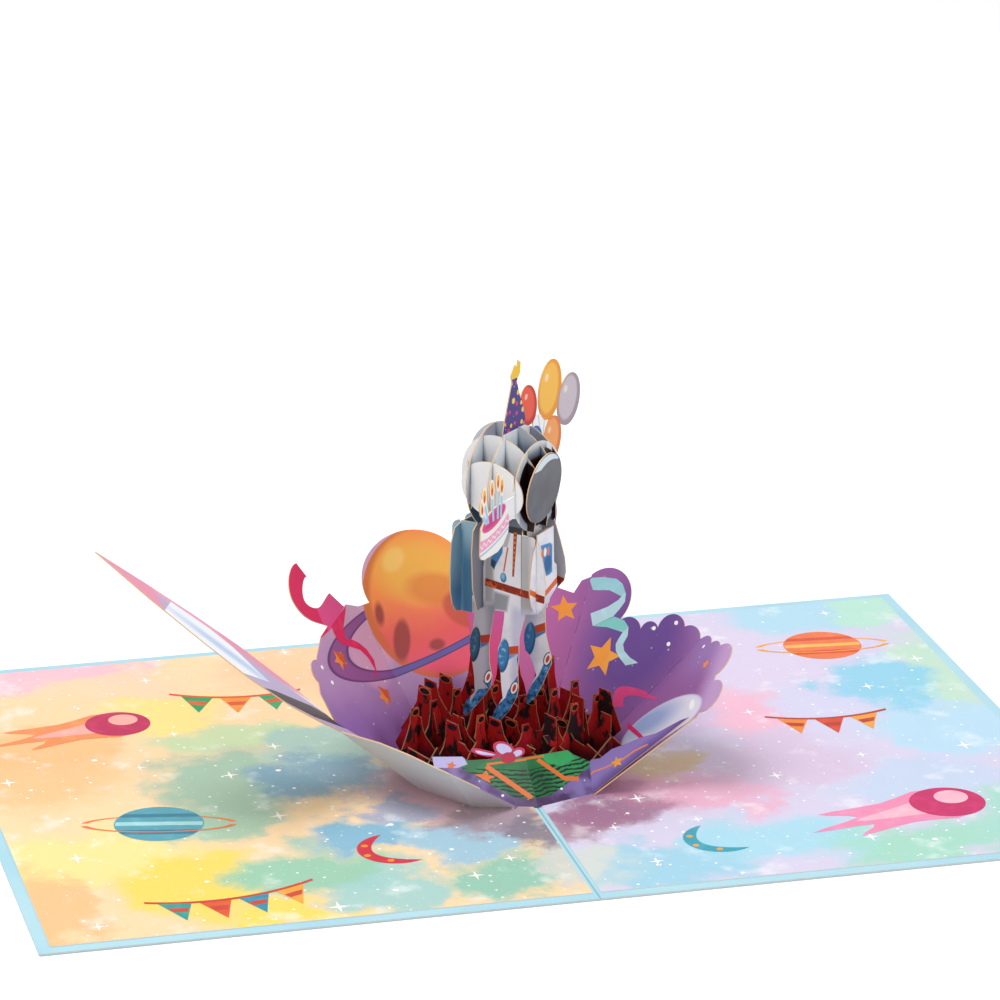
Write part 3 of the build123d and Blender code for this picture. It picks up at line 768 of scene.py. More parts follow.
# Washes of the right page; the mauve patches at (5, -47), (15, -39) and (28, -29), by the bowl's foot, are
# painted shadow
RIGHT_WASH_AND_SHADOW = [(5, -72, 9, 13, "d4dcd4"), (5, -47, 13, 12, "ac8698"), (15, -39, 14, 12, "a27090"),
              (24, -74, 20, 15, "9cd2e6"), (52, -66, 22, 16, "a8dcec"), (81, -78, 22, 15, "a2dcc4"),
              (28, -29, 13, 12, "b87f9c"), (30, -16, 12, 10, "d6a8b8"), (37, -9, 10, 16, "d4bc94"),
              (45, -34, 17, 15, "eeb2cc"), (63, -18, 20, 22, "dac4de"), (64, 17, 16, 21, "f4bacf"),
              (75, 50, 20, 25, "ded2ea"), (104, 82, 26, 19, "b0dcee"), (119, 79, 13, 15, "bce6d2"),
              (122, 30, 14, 30, "c2e4cc"), (102, 24, 16, 17, "8ed2ea"), (110, -7, 19, 21, "b8def2"),
              (94, -41, 22, 16, "c6d6ee"), (84, 12, 14, 16, "d6d4ee"), (110, -68, 18, 18, "a6dccb"),
              (36, 30, 24, 36, "d2c2e0")]


def page(node, name, washes_and_shadow, base):
    k = Ink(name, base)
    x = k.along((1, 0, 0))
    y = k.along((0, 1, 0))
    drift = k.noise(24, 5.0, 0.62)
    drift2 = k.noise(22, 5.0, 0.62, u=x + 300.0, v=y)
    wx = x + (drift - 0.5) * 44
    wy = y + (drift2 - 0.5) * 44
    # washes of the print, with some patches of painted shadow beside the bowl
    for cx, cy, rx, ry, code in washes_and_shadow:
        d = length((wx - cx) * (1 / rx), (wy - cy) * (1 / ry))
        k.coat(code, fade(d, 1.2, 0.62) * 0.92)
    bloom = k.noise(13, 4.0, 0.62)
    k.coat(WHITE, fade(bloom, 0.55, 0.72) * 0.4)
    k.coat(WHITE, k.specks(x, y, 5.2, 0.02, 0.42) * 0.9)
    k.coat(WHITE, k.specks(x + 71.0, y + 33.0, 2.6, 0.0, 0.16) * 0.7)
    top = k.facing((0, 0, 1)).more(0.5)
    k.coat("eceae6", 1.0 - top)
    dress(node, k.finish(0.42))


def cover():
    k = Ink("cover_card", "b4dde8")
    x = k.along((1, 0, 0))
    k.coat("a3d3e4", fade(k.noise(26, 2.0), 0.35, 0.7) * 0.6)
    k.coat("7fb6cc", inside(x.abs() - 0.22, 0.2) * 0.8)
    side = k.facing((0, 0, 1)).abs().less(0.5)
    k.coat(k.blend("cfdfe2", "b9cdd2", k.noise(1.6, 2.0)), side)
    dress("cover", k.finish(0.4))


def motif_planet(p, s, x, y, r, main, dark, light, tilt, hoop=None):
    """Plain ball with bands, and a hoop round it where one is named."""
    if hoop:
        p.lay(s, ring_points(x, y, r * 1.75, r * 0.16, r * 0.5, tilt, 48, 10, 170), ink(hoop), 1)
    p.lay(s, disc_points(x, y, r), ink(main), 2)
    for lo, hi, code in ((-0.62, -0.36, dark), (-0.1, 0.12, light), (0.4, 0.6, dark)):
        a0, a1 = atan2(lo, sqrt(1 - lo * lo)), atan2(hi, sqrt(1 - hi * hi))
        pts = [(cos(a0 + (a1 - a0) * t / 6), sin(a0 + (a1 - a0) * t / 6)) for t in range(7)]
        pts += [(-px, py) for px, py in pts[::-1]]
        c, sn = cos(radians(tilt)), sin(radians(tilt))
        k = r * 0.97
        p.lay(s, [(x + k * (px * c - py * sn), y + k * (px * sn + py * c)) for px, py in pts], ink(code), 3)
    if hoop:
        p.lay(s, ring_points(x, y, r * 1.75, r * 0.16, r * 0.5, tilt, 48, 190, 350), ink(hoop), 4)


def motif_comet(p, s, x, y, r, turn, head, tail, glow):
    c, sn = cos(radians(turn)), sin(radians(turn))

    def at(a, b):
        return (x + r * (a * c - b * sn), y + r * (a * sn + b * c))
    p.lay(s, smooth([at(0, 0.98), at(-1.6, 0.8), at(-3.4, 0.95), at(-2.6, 0.3), at(-4.2, 0.0),
                     at(-2.5, -0.3), at(-3.2, -0.8), at(-1.5, -0.7), at(0, -0.98)], 3), ink(tail), 2)
    p.lay(s, smooth([at(0, 0.5), at(-1.4, 0.35), at(-2.8, 0.1), at(-1.4, -0.3), at(0, -0.5)], 3),
          ink(glow), 3)
    p.lay(s, disc_points(x, y, r), ink(head), 4)
    p.lay(s, disc_points(*at(0.28, 0.24), r * 0.45), ink(glow), 5)


def motif_flags(p, s, x, y, w, turn, codes, line):
    c, sn = cos(radians(turn)), sin(radians(turn))
    n = len(codes)

    def at(a, b):
        sag = -0.10 * n * (1 - (2 * a / n - 1) ** 2)
        return (x + w * ((a - n / 2) * c - (b + sag) * sn), y + w * ((a - n / 2) * sn + (b + sag) * c))
    top = [at(-0.2 + (n + 0.4) * t / 16, 0.06) for t in range(17)]
    low = [at(-0.2 + (n + 0.4) * t / 16, -0.06) for t in range(17)]
    p.lay(s, top + low[::-1], ink(line), 3)
    for j, code in enumerate(codes):
        p.lay(s, [at(j + 0.08, 0), at(j + 0.92, 0), at(j + 0.5, -1.15)], ink(code), 2)
        p.lay(s, [at(j + 0.24, -0.35), at(j + 0.76, -0.35), at(j + 0.66, -0.6), at(j + 0.34, -0.6)],
              ink(line), 3)


def motif_moon(p, s, x, y, r, turn, main, spot):
    p.lay(s, crescent_points(x, y, r, turn), ink(main), 2)
    for k, f in ((-45, 0.82), (0, 0.86), (48, 0.8)):
        a = radians(turn + k)
        p.lay(s, disc_points(x + r * f * cos(a), y + r * f * sin(a), r * 0.09, n=14), ink(spot), 3)


def page_print():
    sheet = Sheet((0, 0, DECK), (1, 0, 0), (0, 1, 0), (0, 0, 1))
    rng = random.Random(7)
    p = Print("left_page_print", "liner_left", "page_left_print")
    motif_comet(p, sheet, -86, 44, 8.0, 14, "c2295a", "f0925a", "f7b0a4")
    motif_planet(p, sheet, -88, -22, 10.5, "57a3b4", "3a7f98", "a6d6da", -12, "ee7a3c")
    motif_flags(p, sheet, -80, -66, 9.0, 6, ["2f9c95", "e2562f", "2c8fae", "f2a43a"], "c8452e")
    motif_moon(p, sheet, -38, -50, 9.0, 200, "cf2b40", "f2952e")
    motif_flags(p, sheet, -54, 58, 9.6, -8, ["2f9d5c", "f2953a", "36a36a"], "e05a34")
    for x, y, r in [(-118, 12, 2.4), (-74, 34, 1.8), (-110, -38, 2.6), (-60, -24, 2.4), (-58, -80, 2.8),
                    (-24, -70, 2.2), (-112, -78, 2.0), (-86, 14, 1.7), (-14, -62, 1.8), (-66, 4, 2.2),
                    (-36, 84, 2.0), (-74, 72, 2.2), (-52, 20, 2.0), (-22, 76, 1.8)]:
        p.lay(sheet, sparkle_points(x, y, r, r * 1.25), ink("fff7ee"), 1)
    for _ in range(26):
        x, y, r = rng.uniform(-122, -4), rng.uniform(-84, 84), rng.uniform(0.35, 0.75)
        p.lay(sheet, disc_points(x, y, r, n=14), ink("fffaf2"), 1)
    p.done()
    p = Print("right_page_print", "liner_right", "page_right_print")
    motif_planet(p, sheet, 98, 55, 10.0, "ef7a4a", "d9583a", "f9ba62", -6, "f2a83a")
    motif_flags(p, sheet, 84, 8, 9.0, -4, ["ee8b3c", "d94c34", "f0a046"], "b8402c")
    motif_comet(p, sheet, 94, -54, 9.0, 16, "c92a68", "ef8fb4", "f7b7c8")
    motif_moon(p, sheet, 36, -62, 8.6, 205, "3ba0b4", "f2a23c")
    for x, y, r in [(24, -34, 2.4), (34, -50, 1.6), (60, -28, 2.2), (70, -70, 2.2), (110, -20, 2.4),
                    (66, 14, 1.8), (100, 24, 2.0), (118, 40, 2.2), (66, 74, 2.0), (106, 78, 1.8),
                    (18, -72, 2.0), (112, -76, 2.2), (84, -20, 1.6), (14, -50, 1.7), (60, 42, 1.8)]:
        p.lay(sheet, sparkle_points(x, y, r, r * 1.25), ink(WHITE), 1)
    for _ in range(26):
        x, y, r = rng.uniform(4, 122), rng.uniform(-84, 84), rng.uniform(0.35, 0.75)
        p.lay(sheet, disc_points(x, y, r, n=14), ink(WHITE), 1)
    p.done()


# Front panel
BOW_LEFT = [(-16.9, 15.5), (-15.8, 15.9), (-13.2, 15.4), (-10.4, 14.6), (-8.6, 13.9), (-10.8, 13.5),
            (-14.0, 13.8), (-16.2, 14.6)]
BOW_LEFT_IN = [(-15.9, 15.2), (-14.0, 15.0), (-11.0, 14.2), (-12.4, 14.0), (-14.8, 14.3)]
BOW_RIGHT = [(-7.9, 13.6), (-7.2, 15.4), (-5.8, 16.5), (-4.4, 16.2), (-4.1, 15.0), (-5.2, 13.7),
             (-6.8, 13.1)]
BOW_RIGHT_IN = [(-7.0, 14.0), (-6.6, 15.2), (-5.6, 15.8), (-4.8, 15.5), (-4.8, 14.7), (-5.8, 13.9)]


def panel_foot():
    return Vector((0, ring(0).y + PANEL_IN, DECK))


def panel_axes(side):
    """Across, up and out of one half of the front panel."""
    rise = radians(PANEL_RISE)
    along = Vector((side * ring(1).x, ring(1).y - ring(0).y, 0)).normalized()
    normal = along.cross(Vector((0, cos(rise), sin(rise)))).normalized()
    if normal.z < 0:
        normal = -normal
    return along * side, normal.cross(along) * side, normal


def wing_sheet():
    """Plane of the wing along the right wall."""
    start = ring(1) + Vector((-0.4, 1.0, 0))
    end = ring(2) + crease_dir(2) * WING_FOLD - facet_axes(1)[2] * 1.3
    across, up, _ = panel_axes(1)
    corner = panel_foot() + across * 19.2 + up * 8.4
    along = (end - start).normalized()
    out = along.cross(corner - start).normalized()
    return Sheet(start, along, out.cross(along), out)


def half_ink(k, side):
    """One half of the panel: where it is, and its coordinates."""
    across, up, normal = panel_axes(side)
    foot = panel_foot()
    top = k.facing(normal).more(ON)
    return top, k.along(across, -foot.dot(across)), k.along(up, -foot.dot(up))


def parcel_ink(k, halves):
    """Green parcel with dark waves over a purple strip, which darkens towards the middle fold as painted
    shade.
    """
    (top1, u1, v1), (top2, u2, v2) = halves
    cloud = k.noise(7, 2.0)
    green = k.blend("257c42", "185e33", fade(cloud, 0.3, 0.7))
    strip = k.blend("4f3568", "8472ae", fade(k.noise(5, 2.0), 0.35, 0.65))
    lower1 = inside(beyond(u1, v1, 2.0, 1.2, 19.0, 7.4))
    lower2 = inside(beyond(u2, v2, -19.7, 10.7, -5.8, 2.5))
    fields = ((top1, u1, v1, lower1, fade(u1, 4.0, 12.0), fade(u1, 15.0, 1.0)),
              (top2, u2, v2, lower2, fade(u2, -20.0, -30.0), fade(u2, -15.0, -1.0)))
    for top, u, v, lower, bright, low in fields:
        parcel = lower * v.more(2.35)
        # the strip darkens towards the middle fold as painted shade
        k.coat(k.blend(strip, "45284e", low * 0.85), top)
        ripple = (v * 5.4 + (u * 0.9).sin() * 1.1 + k.noise(2.4, 2.0, 0.6) * 8.0).sin()
        paper = k.blend(green, "309c5a", bright * 0.7)
        k.coat(k.blend(paper, "10261c", fade(ripple, 0.0, 0.3) * v.less(10.2)), top * parcel)
        k.coat(WHITE, top * (1.0 - parcel) * k.specks(u, v, 4.2, 0.03, 0.34))
    plain = shape(u1, v1, [(8.4, 11.0), (11.6, 9.2), (16.0, 10.2), (15.6, 13.0), (8.0, 13.4)])
    k.coat("36a45e", top1 * inside(plain, 0.2))
    shade = shape(u2, v2, [(-19.9, 10.7), (-16.0, 9.6), (-12.8, 12.6), (-17.6, 12.8)])
    k.coat("1c6a3c", top2 * inside(shade, 0.3))


def ribbons_ink(k, halves):
    """Ribbons over the parcel, with an orange line along its top."""
    runs = ([(6.6, 12.4, 10.6, 5.8, 0.62), (10.2, 5.9, 14.2, 4.8, 0.62), (2.0, 13.5, 8.6, 13.0, 0.3)],
            [(-12.9, 10.9, -1.6, 2.5, 0.62), (-12.8, 11.5, -2.0, 13.5, 0.3)])
    for (top, u, v), strips in zip(halves, runs):
        for x0, y0, x1, y1, half in strips:
            k.coat(ORANGE, top * inside(bar(u, v, x0, y0, x1, y1, half)) * v.more(2.2))


def bow_ink(k, top, u, v):
    """Lilac tip at the left, and the bow."""
    tip = shape(u, v, [(-26.4, 10.0), (-19.7, 10.2), (-17.4, 11.3), (-18.8, 14.0), (-26.4, 14.0)])
    k.coat("b7b1dc", top * inside(tip))
    for x, y, rx, ry, turn in ((-14.4, 14.8, 3.4, 1.5, -12), (-9.0, 15.8, 3.0, 1.9, -32)):
        loop = ellipse(u, v, x, y, rx, ry, turn)
        k.coat(BOW, top * inside(loop - 0.4))
        k.coat(BOW_INSIDE, top * inside(loop + 0.55))
    knot = shape(u, v, [(-9.6, 12.6), (-6.4, 12.6), (-7.0, 14.6), (-9.2, 14.6)])
    k.coat("b0183e", top * inside(knot))


def wing_ink(k, wing):
    """Purple wing with an orange streak."""
    sheet = wing_sheet()
    u = k.along(sheet.x, -sheet.o.dot(sheet.x))
    v = k.along(sheet.y, -sheet.o.dot(sheet.y))
    cloud = k.noise(7, 2.0)
    k.coat(k.blend("8c74ba", "5a3f86", fade(v + cloud * 2, 4.4, 0.6)), wing)
    bends = [(-4.0, 5.3), (-1.0, 4.4), (3.0, 5.2), (6.2, 3.8), (10.6, 2.5), (14.0, 2.3), (17.4, 1.3)]
    for a, b in zip(bends, bends[1:]):
        k.coat("ee8a2f", wing * inside(bar(u, v, *a, *b, 0.22)))


def front_panel():
    k = Ink("gift_paper", "7a5aa4")
    halves = [half_ink(k, 1), half_ink(k, -1)]
    wing = k.facing(wing_sheet().n).more(ON)
    parcel_ink(k, halves)
    ribbons_ink(k, halves)
    bow_ink(k, *halves[1])
    wing_ink(k, wing)
    under = k.facing((0, 0, 1)).less(-0.5)
    printed = halves[0][0].max(halves[1][0]).max(wing)
    k.coat("d6cfe0", under)
    k.coat(TAN, 1.0 - printed.max(under))
    dress("front_panel", k.finish(0.46))


def front_panel_print():
    p = Print("front_panel_print", "front_panel", "gift_print")
    left = Sheet(panel_foot(), *panel_axes(-1))
    rest = [(-15.6, 8.5), (-13.6, 8.7), (-12.8, 9.8), (-12.2, 8.5), (-10.6, 7.9), (-12.0, 7.3),
            (-11.6, 6.1), (-13.0, 7.0)]
    p.lay(left, rest, ink(ORANGE), 2, whole=True)
    p.lay(left, star_points(-21.2, 10.8, 1.3, 0.45, 80), ink(ORANGE), 2, whole=True)
    for points, hollow in ((BOW_LEFT, BOW_LEFT_IN), (BOW_RIGHT, BOW_RIGHT_IN)):
        p.lay(left, smooth(points, 3), ink(BOW), 0)
        p.lay(left, smooth(hollow, 3), ink(BOW_INSIDE), 1)
    p.lay(left, smooth([(-9.6, 12.6), (-9.0, 14.6), (-7.6, 15.0), (-6.4, 14.4), (-6.2, 12.8),
                        (-7.8, 12.0)], 3), ink("b0183e"), 2)
    p.lay(wing_sheet(), star_points(9.1, 2.9, 1.7, 0.45, 70), ink("f2a02f"), 2, whole=True)
    p.done()


# Figure

def plate_axes(family):
    """Across and out of one family of plates."""
    if family == "a":
        return Vector((Q, Q, 0)), Vector((Q, -Q, 0))
    return Vector((Q, -Q, 0)), Vector((-Q, -Q, 0))


def plate_ink(name, family, base):
    """Paper of a plate with its own coordinates: across and height above the pages."""
    k = Ink(name, base)
    across, out = plate_axes(family)
    u = k.along(across, -Vector((*AXIS, 0)).dot(across))
    z = k.along((0, 0, 1), -DECK)
    return k, u, z, k.facing(out).abs().less(0.7)


def patch(k, u, z, parts, colour, soft=0.12, share=1.0, grow=0.08):
    """One colour over convex parts that lie side by side; their points run either way round."""
    total = None
    for points in parts:
        area = sum(x0 * y1 - x1 * y0 for (x0, y0), (x1, y1) in zip(points[-1:] + points[:-1], points))
        mask = inside(shape(u, z, points if area > 0 else points[::-1]) - grow, soft)
        total = mask if total is None else total.max(mask)
    k.coat(colour, total * share)
    return total


def quad(k, u, z, points, colour, soft=0.12, share=1.0):
    """Convex patch of one colour."""
    return patch(k, u, z, [points], colour, soft, share, 0.0)


def wedges(k, u, z, places, apex, spread, colour, share):
    """Painted shade beside each crossing, widening downward from its apex."""
    for at in places:
        wide = (z * -1.0 + apex) * spread
        k.coat(colour, fade((u - at).abs() - wide, 0.4, -1.5) * z.less(apex) * share)


def knee(k, u, z, x, y, rx, ry, turn, dark, main, light):
    k.coat(dark, inside(ellipse(u, z, x, y, rx, ry, turn)))
    k.coat(main, inside(ellipse(u, z, x - 0.1, y + 0.5, rx * 0.82, ry * 0.86, turn), 0.5))
    shine = fade(k.noise(1.3, 2.0, 0.6), 0.5, 0.62)
    k.coat(light, inside(ellipse(u, z, x - 0.3, y + 0.9, rx * 0.55, ry * 0.66, turn), 0.6) * shine)


def badge(k, u, z, x, y, turn=-22):
    """Oval sign on a boot: white ring, red middle."""
    k.coat("16304c", inside(ellipse(u, z, x, y, 1.05, 1.95, turn)))
    k.coat("f6f6f6", inside(ellipse(u, z, x, y, 0.8, 1.65, turn)))
    k.coat("d8401e", inside(ellipse(u, z, x, y, 0.42, 1.05, turn)))


def boot(k, u, z, parts, x, y):
    """Blue boot with lighter streaks, drawn up round its badge."""
    on = patch(k, u, z, parts, BLUE_DARK)
    streak = k.noise(1.5, 3.0, 0.6)
    k.coat(BLUE_MID, on * fade(streak, 0.45, 0.52))
    k.coat(BLUE_LIGHT, on * fade(streak, 0.60, 0.66))
    k.coat("12233c", on * fade(streak, 0.40, 0.34))
    badge(k, u, z, x, y)


def belt(k, u, z, left, right, half):
    """Dark orange belt between two points with brighter patches."""
    on = inside(bar(u, z, *left, *right, half))
    k.coat(BELT_DARK, on)
    k.coat(BELT_LIGHT, on * fade(k.noise(1.6, 2.0, 0.6), 0.50, 0.62) * 0.85)


# Helmet plates across: base colour, painted shade beside the crossings, its spread, apex and share; the
# darker bases of the right and far plates are painted shade too
HELMET_B = {"near": (WHITE, "80828c", 0.06, 77.6, 0.9), "left": (WHITE, "76828e", 0.24, 83.0, 1.0),
            "right": ("d6dde6", "44749a", 0.28, 85.4, 0.9), "far": ("a9b4c2", "7f90a4", 0.2, 84.0, 0.5)}


BOOT_MID = [[(3.6, 25.4), (0.6, 20.6), (3.8, 19.6)], [(0.6, 20.6), (0.0, 18.8), (-0.5, 13.2), (3.8, 19.6)],
            [(0.0, 18.8), (-3.9, 14.6), (-4.2, 10.4), (-0.5, 13.2)]]
BOOT_BACK = [[(-3.6, 25.6), (-6.2, 21.8), (-4.0, 19.6)],
             [(-6.2, 21.8), (-7.6, 19.4), (-9.6, 18.8), (-11.0, 11.8), (-4.0, 19.6)],
             [(-9.6, 18.8), (-12.0, 15.4), (-12.6, 12.0), (-11.0, 11.0)]]
BOOT_FAR = [[(9.6, 31.0), (7.2, 27.0), (5.6, 23.4), (9.8, 25.0)],
            [(5.6, 23.4), (4.0, 21.2), (5.2, 17.4), (9.8, 27.0)],
            [(4.0, 21.2), (2.0, 17.6), (2.2, 14.6), (5.4, 17.6)]]


def pack_ink(k, u, z):
    """Ends of the backpack on a plate, and where they are."""
    pack = (u.less(-6.3) * z.more(42.9)).max(u.less(-9.3) * z.more(36.0)) * z.less(61.4)
    k.coat("a8cbdc", pack)
    k.coat("4a86ae", pack * fade(z, 59.0, 50.0) * 0.9)
    k.coat("335f84", pack * fade(z, 46.0, 37.0) * 0.5)
    k.coat("78a8c4", pack * inside((u + 12.3).abs() - 0.5, 0.8) * z.less(59.0))
    return pack


def left_plate(k, u, z, pack):
    """Collar, chest, belt, two legs and their boots."""
    quad(k, u, z, [(0.5, 60.3), (4.4, 60.3), (4.4, 62.0), (0.5, 62.0)], "3a3a42", 0.2)
    quad(k, u, z, [(-1.0, 60.4), (1.3, 60.4), (0.4, 56.6), (-0.9, 56.6)], "c6c9cc", 0.2)
    # grey strips beside the crossing plates are painted shade
    k.coat("c9c8c8", u.more(4.3) * u.less(7.5) * z.less(60.2) * z.more(40.6) * fade(u, 7.5, 5.6))
    quad(k, u, z, [(-5.8, 61.0), (-3.4, 61.0), (-3.4, 42.0), (-5.8, 42.0)], "b3aeb0", 0.9)
    k.coat("8f8e92", inside((u - 4.2).abs() - 0.12) * z.less(60.4) * z.more(40.4))
    quad(k, u, z, [(2.1, 60.8), (3.1, 60.8), (2.2, 49.6), (1.7, 49.6)], "b23a12")
    quad(k, u, z, [(2.35, 60.6), (2.85, 60.6), (2.05, 51.0), (1.9, 51.0)], "f09a3c", 0.2,
         (z * 5.0).sin().more(-0.1))
    k.coat("e0662c", inside(bar(u, z, 0.5, 56.6, -0.6, 50.4, 0.2)))
    k.coat("3f88bc", inside(ellipse(u, z, -0.7, 48.9, 0.85, 1.25)))
    k.coat("8ec6e2", inside(ellipse(u, z, -0.8, 49.2, 0.5, 0.8), 0.4))
    quad(k, u, z, [(-3.9, 53.6), (-0.8, 56.9), (-1.0, 54.9), (-3.3, 50.6), (-4.1, 51.6)], "4a86bc")
    quad(k, u, z, [(-4.1, 53.0), (-2.7, 52.6), (-3.2, 50.4), (-4.2, 51.4)], "1f4468", 0.3)
    # grey below the belt is painted shade
    quad(k, u, z, [(-3.3, 45.0), (0.9, 44.6), (0.3, 40.6), (-3.5, 40.4)], "a3a3aa", 0.8)
    quad(k, u, z, [(4.2, 45.0), (7.6, 44.6), (6.9, 40.4), (4.2, 40.4)], "b4b0b0", 0.4)
    belt(k, u, z, (-5.7, 47.0), (11.0, 45.2), 0.95)
    legs = fade(z, 43.2, 40.6) * (1.0 - pack)
    k.coat("b9b4ba", legs * u.less(-3.1))
    # the back leg's darker right side is painted shade
    k.coat("84879a", legs * u.less(-3.1) * fade(u + (z - 30.0) * -0.02, -6.6, -3.8) * 0.8)
    k.coat("c9c8e2", legs * u.more(-2.9) * fade(u, 0.6, 2.6) * 0.8)
    patch(k, u, z, [[(-7.0, 33.2), (-3.4, 34.2), (-3.6, 32.2), (-6.8, 31.2)]], "b03214")
    quad(k, u, z, [(-7.0, 31.2), (-3.6, 32.2), (-5.2, 31.2), (-7.2, 29.0)], "44709c", 0.4)
    knee(k, u, z, -8.6, 30.6, 1.5, 4.5, -8, "16344e", "2c5670", "4c80a0")
    patch(k, u, z, [[(0.6, 31.7), (3.4, 32.5), (3.4, 30.6), (0.7, 29.8)]], "d4501f")
    quad(k, u, z, [(0.7, 29.8), (3.4, 30.6), (2.4, 29.8), (0.5, 28.0)], "7f9fcc", 0.4)
    quad(k, u, z, [(3.3, 27.2), (3.0, 29.1), (4.3, 33.8), (5.6, 30.6)], "2f6ea4")
    knee(k, u, z, -0.7, 29.2, 1.55, 4.3, -8, "2a6696", "3f8cc0", "9fd2ea")
    boot(k, u, z, BOOT_BACK, -4.9, 23.1)
    boot(k, u, z, BOOT_MID, 2.3, 21.7)


def right_plate(k, u, z):
    """Belt, the far leg and its boot."""
    belt(k, u, z, (-6.4, 47.1), (8.0, 45.5), 0.95)
    # the far leg darkens towards its left as painted shade
    k.coat("cfcfe6", z.less(42.0) * fade(u, 6.4, 3.8) * 0.7)
    patch(k, u, z, [[(4.5, 35.9), (8.4, 37.8), (8.4, 35.8), (4.5, 34.0)]], "d4521f")
    quad(k, u, z, [(4.5, 34.0), (8.4, 35.8), (7.4, 34.8), (4.6, 32.8)], "4d86b8", 0.3)
    knee(k, u, z, 3.1, 32.4, 1.6, 4.3, -8, "245c8c", "3f80b4", "74b0d8")
    boot(k, u, z, BOOT_FAR, 8.1, 28.3)


def far_plate(k, u, z, body):
    """Far arm, greyed all over as painted shade, with the belt's end and its cuff."""
    k.coat("b8bac4", body)
    quad(k, u, z, [(2.0, 48.6), (10.4, 46.9), (10.4, 45.0), (2.0, 46.2)], BELT_DARK)
    quad(k, u, z, [(2.0, 43.0), (10.4, 43.0), (10.4, 45.4), (2.0, 45.2)], "3b6fa0", 0.3)


def b_slices():
    for node, kind in (("helmet_slice_near", "near"), ("figure_slice_left", "left"),
                       ("figure_slice_right", "right"), ("far_arm_slice", "far")):
        base, shade, spread, apex, share = HELMET_B[kind]
        k, u, z, edge = plate_ink(node + "_paper", "b", base)
        wedges(k, u, z, CROSS_A, apex, spread, shade, share)
        if kind == "right":
            k.coat("4d80a6", fade(z, 82.6, 78.0) * u.more(-0.3) * u.less(5.7) * 0.85)
        if kind == "left":
            k.coat(NIGHT, u.more(5.7) * fade(z + (u - 5.7) * 0.5, 78.9, 78.3))
        if kind in ("right", "far"):
            k.coat(NIGHT, u.more(5.7) * fade(z, 80.0, 77.8))
        if kind != "near":
            body = z.less(61.2)
            k.coat(SUIT, body)
            k.coat("c3c4d0", body * fade(k.noise(6, 2.0), 0.45, 0.75) * 0.4)
        if kind in ("left", "right"):
            pack = pack_ink(k, u, z)
        if kind == "left":
            left_plate(k, u, z, pack)
        if kind == "right":
            right_plate(k, u, z)
        if kind == "far":
            far_plate(k, u, z, body)
        k.coat(TAN, edge)
        dress(node, k.finish(0.5))


# Balloons: place, half sizes, turn, main and bright colour
BALLOONS = [(8.2, 88.7, 3.8, 5.1, 16, "c8322e", "ee5a44"), (18.2, 89.9, 5.3, 7.3, -12, "f09a2c", "fbc04e"),
            (27.1, 85.2, 5.2, 6.4, -20, "a3949f", "cbbfc8"),
            (19.2, 77.4, 4.3, 5.6, -10, "e8783c", "f6a65e"), (11.1, 78.7, 3.5, 4.0, 0, "2a62a6", "5a9ad0"),
            (17.4, 58.6, 4.2, 5.2, 0, "8d6cc0", "c29ae0")]
STRINGS = [(12.6, 85.6, 13.3, 82.0), (13.3, 82.0, 12.9, 77.0), (15.6, 84.0, 15.0, 79.0)]


def balloons_ink(k, u, z):
    """Balloons and their strings on a pale field."""
    k.coat("fcfbfd", u.more(9.8) * z.more(52.0))
    for x0, y0, x1, y1 in STRINGS:
        k.coat("8f8c92", inside(bar(u, z, x0, y0, x1, y1, 0.12)) * 0.8)
    for x, y, rx, ry, turn, dark, light in BALLOONS:
        e = ellipse(u, z, x, y, rx, ry, turn)
        k.coat(dark, inside(e - 0.05))
        k.coat(light, inside(ellipse(u, z, x - 0.5, y + 0.5, rx * 0.8, ry * 0.84, turn), 0.6))
        glint = ellipse(u, z, x - rx * 0.3, y + ry * 0.45, rx * 0.16, ry * 0.14, -30)
        k.coat("fdeed0", inside(glint, 0.3) * 0.6)


def hat_ink(k, u, z):
    """Party hat with spots, and its flame."""
    hat = [(-3.5, 84.6), (6.5, 84.6), (6.5, 86.2), (2.3, 98.0), (1.1, 98.0), (-2.9, 87.6), (-3.5, 85.4)]
    on = inside(shape(u, z, hat) - 0.15)
    k.coat("4c3a86", on)
    spots = k.specks(u + 40.0, z, 2.3, 0.45, 0.75)
    pick = fade(k.noise(2.6, 0.0), 0.45, 0.55)
    k.coat(k.blend("d93a7c", "f4d44c", pick), on * spots)
    k.coat("8fd0e0", on * k.specks(u + 11.3, z + 5.1, 3.6, 0.0, 0.6))
    k.coat("f4c62e", z.more(96.9) * u.less(6.0))


